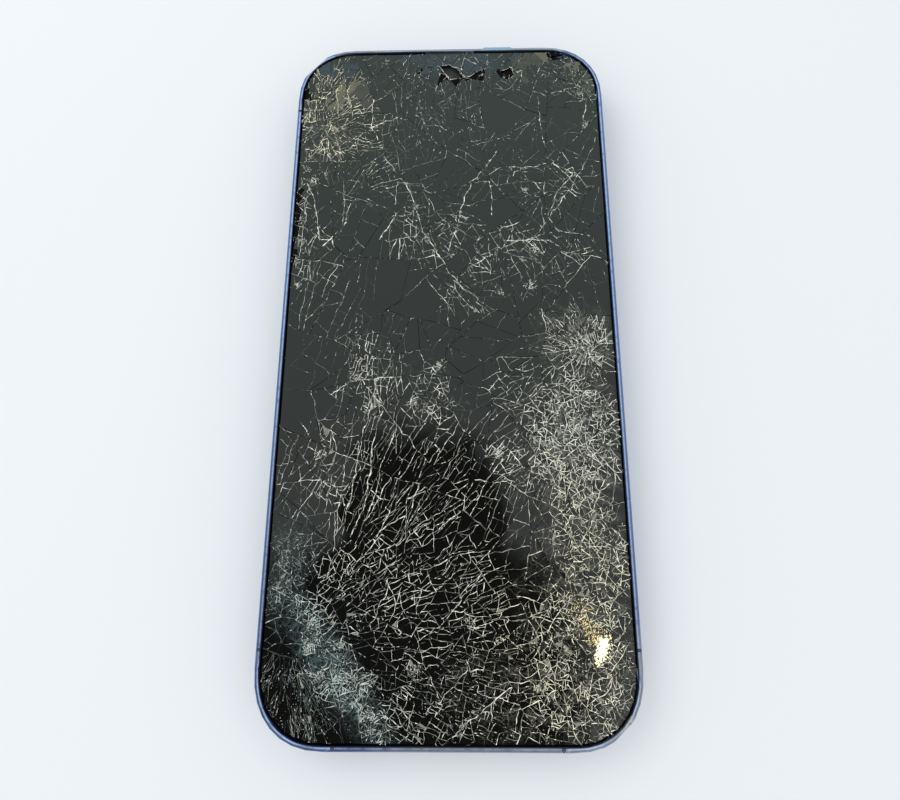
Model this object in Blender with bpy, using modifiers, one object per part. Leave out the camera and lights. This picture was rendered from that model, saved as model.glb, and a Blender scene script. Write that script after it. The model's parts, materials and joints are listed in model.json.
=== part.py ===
"""Slab phone with a shattered front glass, as an assembly of separate pieces.

Metres. +X is to the right as the screen is seen, +Y to the top of the phone and +Z out of the
screen. The origin is the middle of the back glass's outer face. The glass is one sheet, broken
into shards that still hold together, with a few chips gone; the frame's corners are dented.
"""
import math
import random
from collections import namedtuple

import bmesh
import bpy
from mathutils import Matrix, Vector

MM = 0.001
WELD = 0.001 * MM

# Outer body
BODY_WIDTH = 71.5 * MM
BODY_HEIGHT = 147.5 * MM
BODY_THICKNESS = 7.8 * MM
CORNER_RADIUS = 13.5 * MM
CORNER_POWER = 2.25
CORNER_STEPS = 8

# Frame: a band round the phone and a plate across its middle
BAND_LIFT = 0.15 * MM
BAND_BEVEL = 0.35 * MM
RIM_WIDTH = 1.0 * MM
WALL = 2.4 * MM
MIDPLATE_LOW = 1.5 * MM
MIDPLATE_THICKNESS = 0.6 * MM
LEDGE_HEIGHT = 5.2 * MM
CUT_OVERRUN = 1.0 * MM

# Clearances
GLASS_GAP = 0.3 * MM
STACK_GAP = 0.1 * MM
SLIDING_GAP = 0.15 * MM
SEAT_GAP = 0.3 * MM
BAY_GAP = 0.6 * MM

# Front stack, from the glass down
GLASS_SINK = 0.1 * MM
GLASS_THICKNESS = 0.7 * MM
GROOVE_DEPTH = 0.1 * MM
GROOVE_WIDTH = 0.11 * MM
SHARD_TILT = 0.012
SHARD_LIFT = 0.02 * MM
PANEL_THICKNESS = 0.65 * MM
PANEL_BORDER = 0.8 * MM
BACKPLATE_THICKNESS = 0.55 * MM
GASKET_THICKNESS = 0.12 * MM
GASKET_WIDTH = 0.9 * MM
SENSOR_WINDOW = (19.0 * MM, 5.6 * MM)
SENSOR_WINDOW_RIGHT = 2.5 * MM
SENSOR_WINDOW_DROP = 5.4 * MM

# Back
BACK_GLASS_THICKNESS = 0.8 * MM
BACK_BEVEL = 0.2 * MM
COIL_THICKNESS = 0.35 * MM
MAGNET_RADII = (25.0 * MM, 28.0 * MM)
COIL_RADII = (9.0 * MM, 23.0 * MM)
MAGNET_DROP = 15.0 * MM

# Camera island, in the corner that lies left of the top as the back is seen
ISLAND_SIZE = (22.0 * MM, 41.0 * MM)
ISLAND_MARGIN = 4.2 * MM
ISLAND_RISE = 0.9 * MM
ISLAND_BEVEL = 0.3 * MM
LENS_PITCH = 19.4 * MM
LENS_RING_RADIUS = 8.0 * MM
LENS_RING_WALL = 1.1 * MM
LENS_RING_RISE = 0.8 * MM
LENS_COVER_THICKNESS = 0.8 * MM
LENS_COVER_SINK = 0.35 * MM
CAMERA_SIZE = 12.6 * MM
CAMERA_BARREL = 5.2 * MM
FLASH_RADIUS = 3.0 * MM
FLASH_OFFSET = 16.0 * MM
MICROPHONE_RADIUS = 0.6 * MM
MICROPHONE_DROP = 9.0 * MM

# Buttons, all on the middle height of the side wall
BUTTON_RISE = 0.35 * MM
BUTTON_HEIGHT = 2.5 * MM
BUTTON_BEVEL = 0.15 * MM
FLANGE_THICKNESS = 0.45 * MM
FLANGE_OVERLAP = 1.2 * MM
POWER_LENGTH = 12.5 * MM
POWER_FROM_TOP = 48.0 * MM
VOLUME_LENGTH = 8.5 * MM
VOLUME_UP_FROM_TOP = 44.0 * MM
VOLUME_PITCH = 11.5 * MM
SWITCH_CLEARANCE = 0.35 * MM
TACT_SIZE = (1.7 * MM, 4.6 * MM, 2.4 * MM)
SWITCH_BAY = 3.4 * MM
MUTE_FROM_TOP = 30.0 * MM
MUTE_LENGTH = 5.2 * MM
MUTE_HEIGHT = 1.5 * MM
MUTE_TRAVEL = 0.8 * MM
MUTE_SUNK = 0.25 * MM

# SIM tray in the right wall
TRAY_FACE = (15.2 * MM, 1.9 * MM)
TRAY_FACE_DEPTH = 0.8 * MM
TRAY_WIDTH = 13.4 * MM
TRAY_LENGTH = 16.5 * MM
TRAY_THICKNESS = 0.75 * MM
TRAY_CARD = (8.9 * MM, 12.4 * MM)
TRAY_LIP = 1.6 * MM
TRAY_HEIGHT = 4.15 * MM
READER_WALL = 0.35 * MM
EJECT_RADIUS = 0.4 * MM
EJECT_MARGIN = 1.3 * MM

# Bottom edge
PORT_SIZE = (9.0 * MM, 3.1 * MM)
PORT_WALL = 0.25 * MM
PORT_DEPTH = 7.4 * MM
PORT_SINK = 0.25 * MM
PORT_BLOCK = 1.0 * MM
TONGUE_SIZE = (6.6 * MM, 5.0 * MM, 0.7 * MM)
SPEAKER_HOLE_RADIUS = 0.7 * MM
SPEAKER_HOLE_PITCH = 1.95 * MM
SPEAKER_END_MARGIN = 3.5 * MM
SPEAKER_SCREW_MARGIN = 2.2 * MM
BOTTOM_SCREW_OFFSET = 8.6 * MM
BOTTOM_SCREW_RADIUS = 0.8 * MM
BOTTOM_SCREW_LENGTH = 4.0 * MM
SOCKET_RADIUS = 0.4 * MM
SOCKET_DEPTH = 0.5 * MM

# Antenna breaks: a slot across the band with a plastic insert in it
BREAK_WIDTH = 0.6 * MM
BREAK_DEPTH = 0.85 * MM
BREAK_SINK = 0.05 * MM
SIDE_BREAK_FROM_END = 16.5 * MM
BOTTOM_BREAK_MARGIN = 1.6 * MM

# Earpiece slot in the inner side of the rim
EARPIECE_LENGTH = 12.0 * MM
EARPIECE_DEPTH = 0.45 * MM

# Inner pieces
BOARD_WIDTH = 17.0 * MM
BOARD_THICKNESS = 0.7 * MM
BOARD_BOTTOM_UP = 41.0 * MM
BATTERY_FLOOR = 0.35 * MM
BATTERY_THICKNESS = 2.7 * MM
BATTERY_TOP_BAY = 16.0 * MM
BATTERY_BOTTOM_BAY = 24.0 * MM
FLEX_THICKNESS = 0.12 * MM
DISPLAY_FLEX_REACH = 12.0 * MM
DISPLAY_FLEX_WIDTH = 7.0 * MM
DOCK_FLEX_START = 6.0 * MM
DOCK_FLEX_WIDTH = 6.0 * MM
DOCK_FLEX_TAB = 3.5 * MM
CONNECTOR_TAB = 9.0 * MM
CONNECTOR_WIDTH = 5.0 * MM
CONNECTOR_HEIGHT = 0.9 * MM
COVER_THICKNESS = 0.25 * MM
SHIELD_HEIGHT = 1.6 * MM
LOWER_SHIELD = 13.7 * MM
CASE_BEVEL = 0.3 * MM
BATTERY_BEVEL = 0.4 * MM
BOARD_CORNER = 0.8 * MM
BOARD_SCREW_RADIUS = 0.9 * MM
BOARD_SCREW_SHAFT = 0.5 * MM
BOARD_SCREW_HEAD = 0.35 * MM
BOARD_SCREW_INSET = 1.5 * MM
EARPIECE_SPEAKER = (16.0 * MM, 5.2 * MM)
MOTOR_WIDTH = 8.0 * MM
MOTOR_BACK = 4.5 * MM
BOTTOM_MICROPHONE = (4.0 * MM, 2.5 * MM, 1.8 * MM)

# Damage to the band
DENT_DEPTH = 0.75 * MM
SCRAPE_DEPTH = 0.3 * MM
LIP_LENGTH = 7.0 * MM
LIP_RIGHT = 11.5 * MM
LIP_RISE = 0.5 * MM
LIP_THICKNESS = 1.1 * MM

# The break in the glass. A cell is the usual width of a shard, in metres; lean is the direction
# that its cracks run in, as an angle in degrees or as the point that they fan out from.
CrackZone = namedtuple("CrackZone", "x y reach_x reach_y turn cell stretch lean")
CRACK_SEED = 26
OPEN_CELL = 6.2 * MM
CLEAR_CELL = 9.5 * MM
FIRST_CELL = 8.5 * MM
SPLIT_RANGE = (1.9, 3.7)
CRACK_WANDER = 0.3
LEAN_SPREAD = 17.0
FIRST_LEAN = 62.0

CRACK_ZONES = [
    CrackZone(-27.0, 57.0, 9.5, 16.0, 0.0, 2.7, 1.3, (-29.0, 44.0)),
    CrackZone(0.0, 67.5, 32.0, 6.0, 0.0, 3.1, 1.3, (2.0, 74.0)),
    CrackZone(29.0, 66.0, 6.0, 8.0, 0.0, 2.4, 1.0, None),
    CrackZone(-30.0, 24.0, 6.0, 20.0, 0.0, 4.6, 1.6, 80.0),
    CrackZone(-6.0, 31.0, 7.0, 9.0, 0.0, 3.3, 1.4, (-7.5, 32.0)),
    CrackZone(23.0, 37.0, 9.0, 9.0, 0.0, 3.9, 1.6, (23.0, 38.0)),
    CrackZone(5.0, 11.0, 8.0, 6.0, 0.0, 3.5, 1.5, (4.0, 10.0)),
    CrackZone(-16.0, -7.0, 5.0, 9.0, 12.0, 2.6, 1.3, None),
    CrackZone(-23.0, -21.0, 5.0, 10.0, -20.0, 2.9, 1.4, None),
    CrackZone(-3.5, -9.0, 5.0, 8.0, 0.0, 2.8, 1.4, None),
    CrackZone(-10.0, -30.0, 12.0, 13.0, -20.0, 3.4, 3.0, 66.0),
    CrackZone(7.0, -30.0, 10.0, 16.0, 0.0, 3.8, 2.2, 58.0),
    CrackZone(26.0, 0.0, 7.0, 9.0, 0.0, 2.1, 1.1, (25.0, 2.0)),
    CrackZone(24.5, -20.0, 11.0, 17.0, 0.0, 2.2, 1.2, None),
    CrackZone(27.0, -44.0, 9.0, 13.0, 0.0, 2.4, 1.3, (30.0, -55.0)),
    CrackZone(17.0, -62.0, 17.0, 10.0, 0.0, 2.8, 1.2, 40.0),
    CrackZone(-17.0, -48.0, 13.0, 12.0, 30.0, 2.6, 1.3, None),
    CrackZone(1.0, -54.0, 9.0, 17.0, 0.0, 3.0, 1.9, 42.0),
    CrackZone(-20.0, -59.0, 5.0, 19.0, 38.0, 1.75, 1.2, (-29.0, -56.0)),
    CrackZone(-29.0, -66.0, 8.0, 9.0, 0.0, 2.3, 3.4, (-30.0, -55.0)),
]

# Patches that the cracks went round, as centre and half sizes
CLEAR_PATCHES = [
    (-14.0, 60.5, 2.8, 4.4), (14.0, 55.0, 5.6, 4.6), (27.0, 56.0, 4.6, 5.4),
    (-27.5, 31.5, 2.2, 3.8), (8.5, 28.5, 6.0, 5.6), (28.0, 30.0, 6.2, 3.6),
    (31.0, 7.2, 3.6, 1.8), (-12.0, 9.0, 7.4, 6.0), (5.2, -8.2, 4.6, 3.6),
    (11.5, -15.0, 3.2, 2.8), (-31.5, -55.5, 2.0, 2.2), (-30.5, -10.0, 3.4, 9.0),
]

# Outlines of the chips that fell out, as x and the drop from the top edge, in millimetres
MISSING_CHIPS = [
    [(-2.7, 4.9), (0.0, 8.6), (3.9, 7.7), (0.2, 4.4)],
    [(4.4, 7.9), (7.9, 7.4), (8.4, 5.3)],
    [(12.2, 6.4), (13.0, 8.0), (15.2, 7.2), (14.8, 5.2)],
    [(24.2, 2.4), (24.6, 3.6), (27.4, 3.2), (27.0, 2.0)],
    [(-7.9, 6.6), (-7.0, 7.1), (-6.8, 5.9)],
    [(-5.7, 7.9), (-5.1, 8.3), (-4.8, 7.3)],
]
CHIP_CELL = 1.5 * MM
CHIP_REACH = 3.0 * MM

# Places and ranges that follow from the sizes above
HALF_WIDTH = BODY_WIDTH / 2
HALF_HEIGHT = BODY_HEIGHT / 2
BAY_X = HALF_WIDTH - WALL
BAY_Y = HALF_HEIGHT - WALL
MIDPLATE_TOP = MIDPLATE_LOW + MIDPLATE_THICKNESS
BAY_FLOOR = MIDPLATE_TOP + SEAT_GAP
BUTTON_Z = (MIDPLATE_TOP + LEDGE_HEIGHT) / 2
GLASS_TOP = BODY_THICKNESS - GLASS_SINK
GLASS_LOW = GLASS_TOP - GLASS_THICKNESS
PANEL_TOP = GLASS_LOW - STACK_GAP
BACKPLATE_TOP = PANEL_TOP - PANEL_THICKNESS - STACK_GAP
BACKPLATE_LOW = BACKPLATE_TOP - BACKPLATE_THICKNESS
GLASS_INSET = RIM_WIDTH + GLASS_GAP
ISLAND_X = HALF_WIDTH - ISLAND_MARGIN - ISLAND_SIZE[0] / 2
ISLAND_Y = HALF_HEIGHT - ISLAND_MARGIN - ISLAND_SIZE[1] / 2
LENS_YS = {"upper": ISLAND_Y + LENS_PITCH / 2, "lower": ISLAND_Y - LENS_PITCH / 2}
LENS_HOLE = LENS_RING_RADIUS - LENS_RING_WALL / 2
BOARD_RIGHT = BAY_X - SWITCH_BAY
BOARD_LEFT = BOARD_RIGHT - BOARD_WIDTH
BOARD_HIGH = BAY_FLOOR + BOARD_THICKNESS
BOARD_UPPER = LENS_YS["lower"] - CAMERA_SIZE / 2 - BAY_GAP
BOARD_LOWER = -HALF_HEIGHT + BOARD_BOTTOM_UP
SHIELD_LOW = BOARD_HIGH + STACK_GAP
SHIELD_MARGIN = 2 * BOARD_SCREW_INSET + BAY_GAP / 2
READER_BOTTOM = BOARD_LOWER + SHIELD_MARGIN + LOWER_SHIELD + BAY_GAP / 2
READER_REACH = TRAY_WIDTH / 2 + SLIDING_GAP + READER_WALL
TRAY_Y = READER_BOTTOM + READER_REACH
READER_TOP = TRAY_Y + READER_REACH
SPEAKER_END = HALF_WIDTH - CORNER_RADIUS - SPEAKER_END_MARGIN
SPEAKER_HOLES = 1 + int((SPEAKER_END - BOTTOM_SCREW_OFFSET - SPEAKER_SCREW_MARGIN)
                        / SPEAKER_HOLE_PITCH)
BOTTOM_BREAK_X = HALF_WIDTH - CORNER_RADIUS - BOTTOM_BREAK_MARGIN
WINDOW_Y = HALF_HEIGHT - SENSOR_WINDOW_DROP
SWITCH_X = BAY_X - SLIDING_GAP - FLANGE_THICKNESS - SWITCH_CLEARANCE
BOARD_SCREWS = [
    (BOARD_LEFT + BOARD_SCREW_INSET, BOARD_UPPER - BOARD_SCREW_INSET),
    (BOARD_RIGHT - BOARD_SCREW_INSET, BOARD_UPPER - BOARD_SCREW_INSET),
    (BOARD_LEFT + BOARD_SCREW_INSET, BOARD_LOWER + BOARD_SCREW_INSET),
    (BOARD_RIGHT - BOARD_SCREW_INSET, BOARD_LOWER + BOARD_SCREW_INSET),
]

# A local +Z turned to point out of each side of the phone
QUARTER = math.pi / 2
FACING = {
    "front": (0.0, 0.0, 0.0),
    "right": (QUARTER, 0.0, QUARTER),
    "left": (QUARTER, 0.0, -QUARTER),
    "bottom": (QUARTER, 0.0, 0.0),
}

for old in list(bpy.data.objects):
    bpy.data.objects.remove(old, do_unlink=True)

PARTS = bpy.data.collections.new("shattered_phone")
CUTTERS = bpy.data.collections.new("cutters")
FRAME_CUTTERS = bpy.data.collections.new("frame_cutters")
bpy.context.scene.collection.children.link(PARTS)
bpy.context.scene.collection.children.link(CUTTERS)
CUTTERS.children.link(FRAME_CUTTERS)


def finish(name, color, roughness, metallic=0.0):
    """A plain finish as a Principled material."""
    material = bpy.data.materials.new(name)
    material.use_nodes = True
    shader = material.node_tree.nodes["Principled BSDF"]
    shader.inputs["Base Color"].default_value = (*color, 1.0)
    shader.inputs["Roughness"].default_value = roughness
    shader.inputs["Metallic"].default_value = metallic
    return material


BLUE_METAL = finish("blue_anodised", (0.10, 0.13, 0.42), 0.35, 1.0)
BREAK_PLASTIC = finish("antenna_plastic", (0.05, 0.06, 0.14), 0.5)
BLACK_GLASS = finish("shattered_glass", (0.04, 0.045, 0.045), 0.1)
BACK_BLUE = finish("back_glass", (0.16, 0.19, 0.46), 0.2)
LENS_GLASS = finish("lens_glass", (0.01, 0.01, 0.015), 0.05)
FLASH_PLASTIC = finish("flash_lens", (0.85, 0.8, 0.6), 0.2)
BLACK_PLASTIC = finish("black_plastic", (0.02, 0.02, 0.02), 0.5)
PANEL_BLACK = finish("display_panel", (0.01, 0.01, 0.012), 0.3)
STEEL = finish("steel", (0.55, 0.55, 0.56), 0.35, 1.0)
COPPER = finish("copper", (0.62, 0.3, 0.16), 0.35, 1.0)
MAGNET_GREY = finish("magnet", (0.25, 0.25, 0.26), 0.45, 1.0)
BOARD_BLUE = finish("circuit_board", (0.02, 0.05, 0.09), 0.5)
BATTERY_BLACK = finish("battery_wrap", (0.03, 0.03, 0.035), 0.45)
FLEX_AMBER = finish("flex_film", (0.30, 0.13, 0.04), 0.4)


def add_object(name, mesh, material, collection=PARTS):
    """Links a mesh as an object with its finish, and hides it if it is a cutter."""
    piece = bpy.data.objects.new(name, mesh)
    collection.objects.link(piece)
    if material:
        mesh.materials.clear()
        mesh.materials.append(material)
    if collection is not PARTS:
        piece.hide_render = True
        piece.display_type = "WIRE"
    return piece


def rounded(width, height, radius, center=(0.0, 0.0), power=2.0, steps=5):
    """Points of a rectangle whose corners are superellipse quarters, counter-clockwise."""
    reach_x, reach_y = width / 2 - radius, height / 2 - radius
    points = []
    for sign_x, sign_y, forward in ((1, 1, True), (-1, 1, False), (-1, -1, True), (1, -1, False)):
        for step in range(steps + 1):
            angle = QUARTER * (step if forward else steps - step) / steps
            x = sign_x * (reach_x + radius * max(math.cos(angle), 0.0) ** (2 / power))
            y = sign_y * (reach_y + radius * max(math.sin(angle), 0.0) ** (2 / power))
            points.append((center[0] + x, center[1] + y))
    return [p for i, p in enumerate(points) if math.dist(p, points[i - 1]) > WELD]


def circle(radius, center=(0.0, 0.0), steps=26):
    """Points of a circle, counter-clockwise."""
    turns = [2 * math.pi * step / steps for step in range(steps)]
    return [(center[0] + radius * math.cos(a), center[1] + radius * math.sin(a)) for a in turns]


def body_outline(inset=0.0):
    """The phone's outline, moved in by an inset."""
    return rounded(BODY_WIDTH - 2 * inset, BODY_HEIGHT - 2 * inset, CORNER_RADIUS - inset,
                   power=CORNER_POWER, steps=CORNER_STEPS)


def slab(name, loops, low, high, material, facing="front", at=(0.0, 0.0, 0.0), collection=PARTS):
    """A flat outline, with any holes as further loops, extruded from low to high."""
    curve = bpy.data.curves.new(name, "CURVE")
    curve.dimensions = "2D"
    curve.fill_mode = "BOTH"
    curve.extrude = (high - low) / 2
    for loop in loops:
        spline = curve.splines.new("POLY")
        spline.points.add(len(loop) - 1)
        for point, (x, y) in zip(spline.points, loop):
            point.co = (x, y, 0.0, 1.0)
        spline.use_cyclic_u = True
    holder = bpy.data.objects.new(name + "_outline", curve)
    CUTTERS.objects.link(holder)
    bpy.context.view_layer.update()
    depsgraph = bpy.context.evaluated_depsgraph_get()
    mesh = bpy.data.meshes.new_from_object(holder.evaluated_get(depsgraph))
    bpy.data.objects.remove(holder, do_unlink=True)
    bm = bmesh.new()
    bm.from_mesh(mesh)
    bmesh.ops.remove_doubles(bm, verts=bm.verts, dist=WELD)
    bmesh.ops.recalc_face_normals(bm, faces=bm.faces)
    bmesh.ops.translate(bm, verts=bm.verts, vec=(0.0, 0.0, (low + high) / 2))
    bm.to_mesh(mesh)
    bm.free()
    piece = add_object(name, mesh, material, collection)
    piece.location = at
    piece.rotation_euler = FACING[facing]
    return piece


def box(name, low, high, material, collection=PARTS, bevel=0.0):
    """A box between two corners, with its edges rounded where a bevel is given."""
    bm = bmesh.new()
    bmesh.ops.create_cube(bm, size=1.0)
    size = [b - a for a, b in zip(low, high)]
    bmesh.ops.scale(bm, verts=bm.verts, vec=size)
    mesh = bpy.data.meshes.new(name)
    bm.to_mesh(mesh)
    bm.free()
    piece = add_object(name, mesh, material, collection)
    piece.location = [(a + b) / 2 for a, b in zip(low, high)]
    if bevel:
        add_bevel(piece, bevel)
    return piece


def rod(name, radius, low, high, material, facing="front", at=(0.0, 0.0, 0.0),
        collection=PARTS, sides=16):
    """A cylinder from low to high along the way that it faces."""
    bm = bmesh.new()
    place = Matrix.Translation((0.0, 0.0, (low + high) / 2))
    bmesh.ops.create_cone(bm, cap_ends=True, segments=sides, radius1=radius, radius2=radius,
                          depth=high - low, matrix=place)
    mesh = bpy.data.meshes.new(name)
    bm.to_mesh(mesh)
    bm.free()
    mesh.shade_smooth()
    mesh.set_sharp_from_angle(angle=math.radians(40))
    piece = add_object(name, mesh, material, collection)
    piece.location = at
    piece.rotation_euler = FACING[facing]
    return piece


def add_bevel(piece, width, segments=1, angle=60.0):
    """Rounds the piece's sharp edges."""
    bevel = piece.modifiers.new("edges", "BEVEL")
    bevel.width = width
    bevel.segments = segments
    bevel.limit_method = "ANGLE"
    bevel.angle_limit = math.radians(angle)


def combine(piece, other, operation):
    """Joins another solid to the piece, or cuts it away."""
    boolean = piece.modifiers.new(operation.lower(), "BOOLEAN")
    boolean.operation = operation
    boolean.object = other
    boolean.solver = "EXACT"


def cutter_box(name, low, high, collection=CUTTERS):
    """A box that only cuts."""
    return box(name, low, high, None, collection)


def build_frame():
    """The band and midplate, machined as one piece, with its openings and its dents."""
    frame = slab("frame", [body_outline()], BAND_LIFT, BODY_THICKNESS, BLUE_METAL)
    add_bevel(frame, BAND_BEVEL, segments=2)
    lip = rounded(LIP_LENGTH, 2 * (RIM_WIDTH - EARPIECE_DEPTH / 2 + LIP_RISE), LIP_RISE,
                  center=(LIP_RIGHT, HALF_HEIGHT - RIM_WIDTH + EARPIECE_DEPTH / 2))
    lip_top = BODY_THICKNESS - BAND_BEVEL
    combine(frame, slab("bent_lip", [lip], lip_top - LIP_THICKNESS, lip_top, None,
                        collection=CUTTERS), "UNION")
    slab("display_pocket", [body_outline(RIM_WIDTH)], LEDGE_HEIGHT, BODY_THICKNESS + CUT_OVERRUN,
         None, collection=FRAME_CUTTERS)
    slab("inner_pocket", [body_outline(WALL)], MIDPLATE_TOP, LEDGE_HEIGHT + CUT_OVERRUN,
         None, collection=FRAME_CUTTERS)
    slab("back_pocket", [body_outline(RIM_WIDTH)], BAND_LIFT - CUT_OVERRUN, MIDPLATE_LOW,
         None, collection=FRAME_CUTTERS)
    for level, lens_y in LENS_YS.items():
        reach = CAMERA_SIZE / 2 + SEAT_GAP
        cutter_box("camera_window_" + level,
                   (ISLAND_X - reach, lens_y - reach, MIDPLATE_LOW - CUT_OVERRUN),
                   (ISLAND_X + reach, lens_y + reach, MIDPLATE_TOP + CUT_OVERRUN), FRAME_CUTTERS)
    for x, y in BOARD_SCREWS:
        rod("board_screw_hole", BOARD_SCREW_SHAFT + STACK_GAP, MIDPLATE_LOW - CUT_OVERRUN,
            MIDPLATE_TOP + CUT_OVERRUN, None, at=(x, y, 0.0), collection=FRAME_CUTTERS, sides=10)
    cut_bottom_openings()
    cut_dents()
    pockets = frame.modifiers.new("openings", "BOOLEAN")
    pockets.operation = "DIFFERENCE"
    pockets.operand_type = "COLLECTION"
    pockets.collection = FRAME_CUTTERS
    pockets.solver = "EXACT"
    return frame


def wall_slot(name, side, y, length, height, z=BUTTON_Z):
    """Cuts a rounded slot through the left or right wall."""
    outline = rounded(length + 2 * SLIDING_GAP, height + 2 * SLIDING_GAP,
                      height / 2 + SLIDING_GAP, steps=5)
    slab(name, [outline], BAY_X - CUT_OVERRUN, HALF_WIDTH + CUT_OVERRUN, None, side,
         (0.0, y, z), FRAME_CUTTERS)


def cut_bottom_openings():
    """The charge port, the speaker and microphone holes and the two screw holes."""
    port = rounded(PORT_SIZE[0] + 2 * STACK_GAP, PORT_SIZE[1] + 2 * STACK_GAP,
                   PORT_SIZE[1] / 2 + STACK_GAP)
    reach = (BAY_Y - CUT_OVERRUN, HALF_HEIGHT + CUT_OVERRUN)
    slab("port_opening", [port], *reach, None, "bottom", (0.0, 0.0, BUTTON_Z), FRAME_CUTTERS)
    for side in (-1, 1):
        for count in range(SPEAKER_HOLES):
            x = side * (SPEAKER_END - count * SPEAKER_HOLE_PITCH)
            rod("speaker_hole", SPEAKER_HOLE_RADIUS, *reach, None, "bottom",
                (x, 0.0, BUTTON_Z), FRAME_CUTTERS, sides=10)
        rod("bottom_screw_hole", BOTTOM_SCREW_RADIUS + STACK_GAP, *reach, None, "bottom",
            (side * BOTTOM_SCREW_OFFSET, 0.0, BUTTON_Z), FRAME_CUTTERS, sides=12)
    cutter_box("earpiece_slot",
               (-EARPIECE_LENGTH / 2, HALF_HEIGHT - RIM_WIDTH - CUT_OVERRUN, LEDGE_HEIGHT + SEAT_GAP),
               (EARPIECE_LENGTH / 2, HALF_HEIGHT - RIM_WIDTH + EARPIECE_DEPTH,
                BODY_THICKNESS + CUT_OVERRUN), FRAME_CUTTERS)


def cut_dents():
    """A flat knocked on the top left corner and a scrape on the bottom right one."""
    corner = CORNER_RADIUS * (1 - 0.5 ** (1 / CORNER_POWER))
    for name, sign_x, sign_y, turn, depth in (("corner_dent", -1, 1, 48.0, DENT_DEPTH),
                                              ("corner_scrape", 1, -1, 41.0, SCRAPE_DEPTH)):
        outward = Vector((sign_x, sign_y, 0.0)).normalized()
        middle = Vector((sign_x * (HALF_WIDTH - corner), sign_y * (HALF_HEIGHT - corner), 0.0))
        size = CORNER_RADIUS
        cutter = cutter_box(name, (-size, -size / 2, -size), (size, size / 2, size), FRAME_CUTTERS)
        cutter.location = middle + outward * (size / 2 - depth) + Vector((0.0, 0.0, GLASS_TOP))
        cutter.rotation_euler = (0.0, 0.0, math.radians(turn))


def build_antenna_breaks():
    """Plastic inserts in slots across the band's outer side."""
    end = HALF_HEIGHT - SIDE_BREAK_FROM_END
    places = {
        "left_upper": ("left", (0.0, end, 0.0), HALF_WIDTH),
        "left_lower": ("left", (0.0, -end, 0.0), HALF_WIDTH),
        "right_lower": ("right", (0.0, -end, 0.0), HALF_WIDTH),
        "bottom_left": ("bottom", (-BOTTOM_BREAK_X, 0.0, 0.0), HALF_HEIGHT),
        "bottom_right": ("bottom", (BOTTOM_BREAK_X, 0.0, 0.0), HALF_HEIGHT),
    }
    for name, (side, at, reach) in places.items():
        groove = rounded(BREAK_WIDTH, 2 * BODY_THICKNESS + CUT_OVERRUN, WELD * 2, steps=1)
        slab("break_slot_" + name, [groove], reach - BREAK_DEPTH, reach + CUT_OVERRUN, None,
             side, at, FRAME_CUTTERS)
        height = BODY_THICKNESS - BAND_LIFT - 2 * BREAK_SINK
        middle = (BODY_THICKNESS + BAND_LIFT) / 2
        insert = rounded(BREAK_WIDTH - 2 * STACK_GAP, height, BREAK_SINK, center=(0.0, middle),
                         steps=2)
        slab("antenna_break_" + name, [insert], reach - BREAK_DEPTH + STACK_GAP,
             reach - BREAK_SINK, BREAK_PLASTIC, side, at)


def zone_depth(zone, x, y):
    """How far out of a zone a point lies: under 1 is inside it."""
    turn = math.radians(zone.turn)
    dx, dy = x - zone.x * MM, y - zone.y * MM
    along = dx * math.cos(turn) + dy * math.sin(turn)
    across = dy * math.cos(turn) - dx * math.sin(turn)
    return math.hypot(along / (zone.reach_x * MM), across / (zone.reach_y * MM))


def crack_rule(x, y):
    """The shard width, stretch and lean at a point of the glass."""
    for center_x, center_y, reach_x, reach_y in CLEAR_PATCHES:
        if math.hypot((x - center_x * MM) / (reach_x * MM), (y - center_y * MM) / (reach_y * MM)) < 1:
            return CLEAR_CELL, 1.0, FIRST_LEAN
    cell, stretch, lean = OPEN_CELL, 1.5, FIRST_LEAN
    for chip in MISSING_CHIPS:
        middle_x = sum(p[0] for p in chip) / len(chip) * MM
        middle_y = HALF_HEIGHT - sum(p[1] for p in chip) / len(chip) * MM
        if math.dist((x, y), (middle_x, middle_y)) < CHIP_REACH:
            cell = min(cell, CHIP_CELL)
    for zone in CRACK_ZONES:
        depth = zone_depth(zone, x, y)
        fade = min(max((depth - 0.75) / 0.5, 0.0), 1.0)
        width = zone.cell * MM + (OPEN_CELL - zone.cell * MM) * fade
        if width < cell:
            cell, stretch, lean = width, zone.stretch, zone.lean
    if isinstance(lean, tuple):
        lean = math.degrees(math.atan2(y - lean[1] * MM, x - lean[0] * MM))
    return cell, stretch, lean


def extent(points, angle):
    """The width of a set of points along a direction."""
    way = (math.cos(angle), math.sin(angle))
    reaches = [p[0] * way[0] + p[1] * way[1] for p in points]
    return max(reaches) - min(reaches)


def crack_line(points, smallest, rng):
    """Where the next crack crosses a shard, as a point and a direction, or None if it is small."""
    x = sum(p[0] for p in points) / len(points)
    y = sum(p[1] for p in points) / len(points)
    samples = [((x + p[0]) / 2, (y + p[1]) / 2) for p in points]
    cell, stretch, lean = min((crack_rule(*sample) for sample in samples), key=lambda rule: rule[0])
    if lean is None:
        turns = [math.pi * step / 8 for step in range(8)]
        longest = max(turns, key=lambda turn: extent(points, turn))
        angle, length, width = longest, extent(points, longest), extent(points, longest + QUARTER)
    else:
        angle = math.radians(lean)
        length, width = extent(points, angle) / stretch, extent(points, angle + QUARTER)
    limit = max(cell, smallest) * rng.uniform(*SPLIT_RANGE)
    if math.sqrt(length * width * stretch) < limit:
        return None
    way = angle + QUARTER if length > width else angle
    way += math.radians(rng.gauss(0.0, LEAN_SPREAD))
    spread = extent(points, way + QUARTER) * rng.uniform(-0.2, 0.2)
    return (x - math.sin(way) * spread, y + math.cos(way) * spread), way


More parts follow.
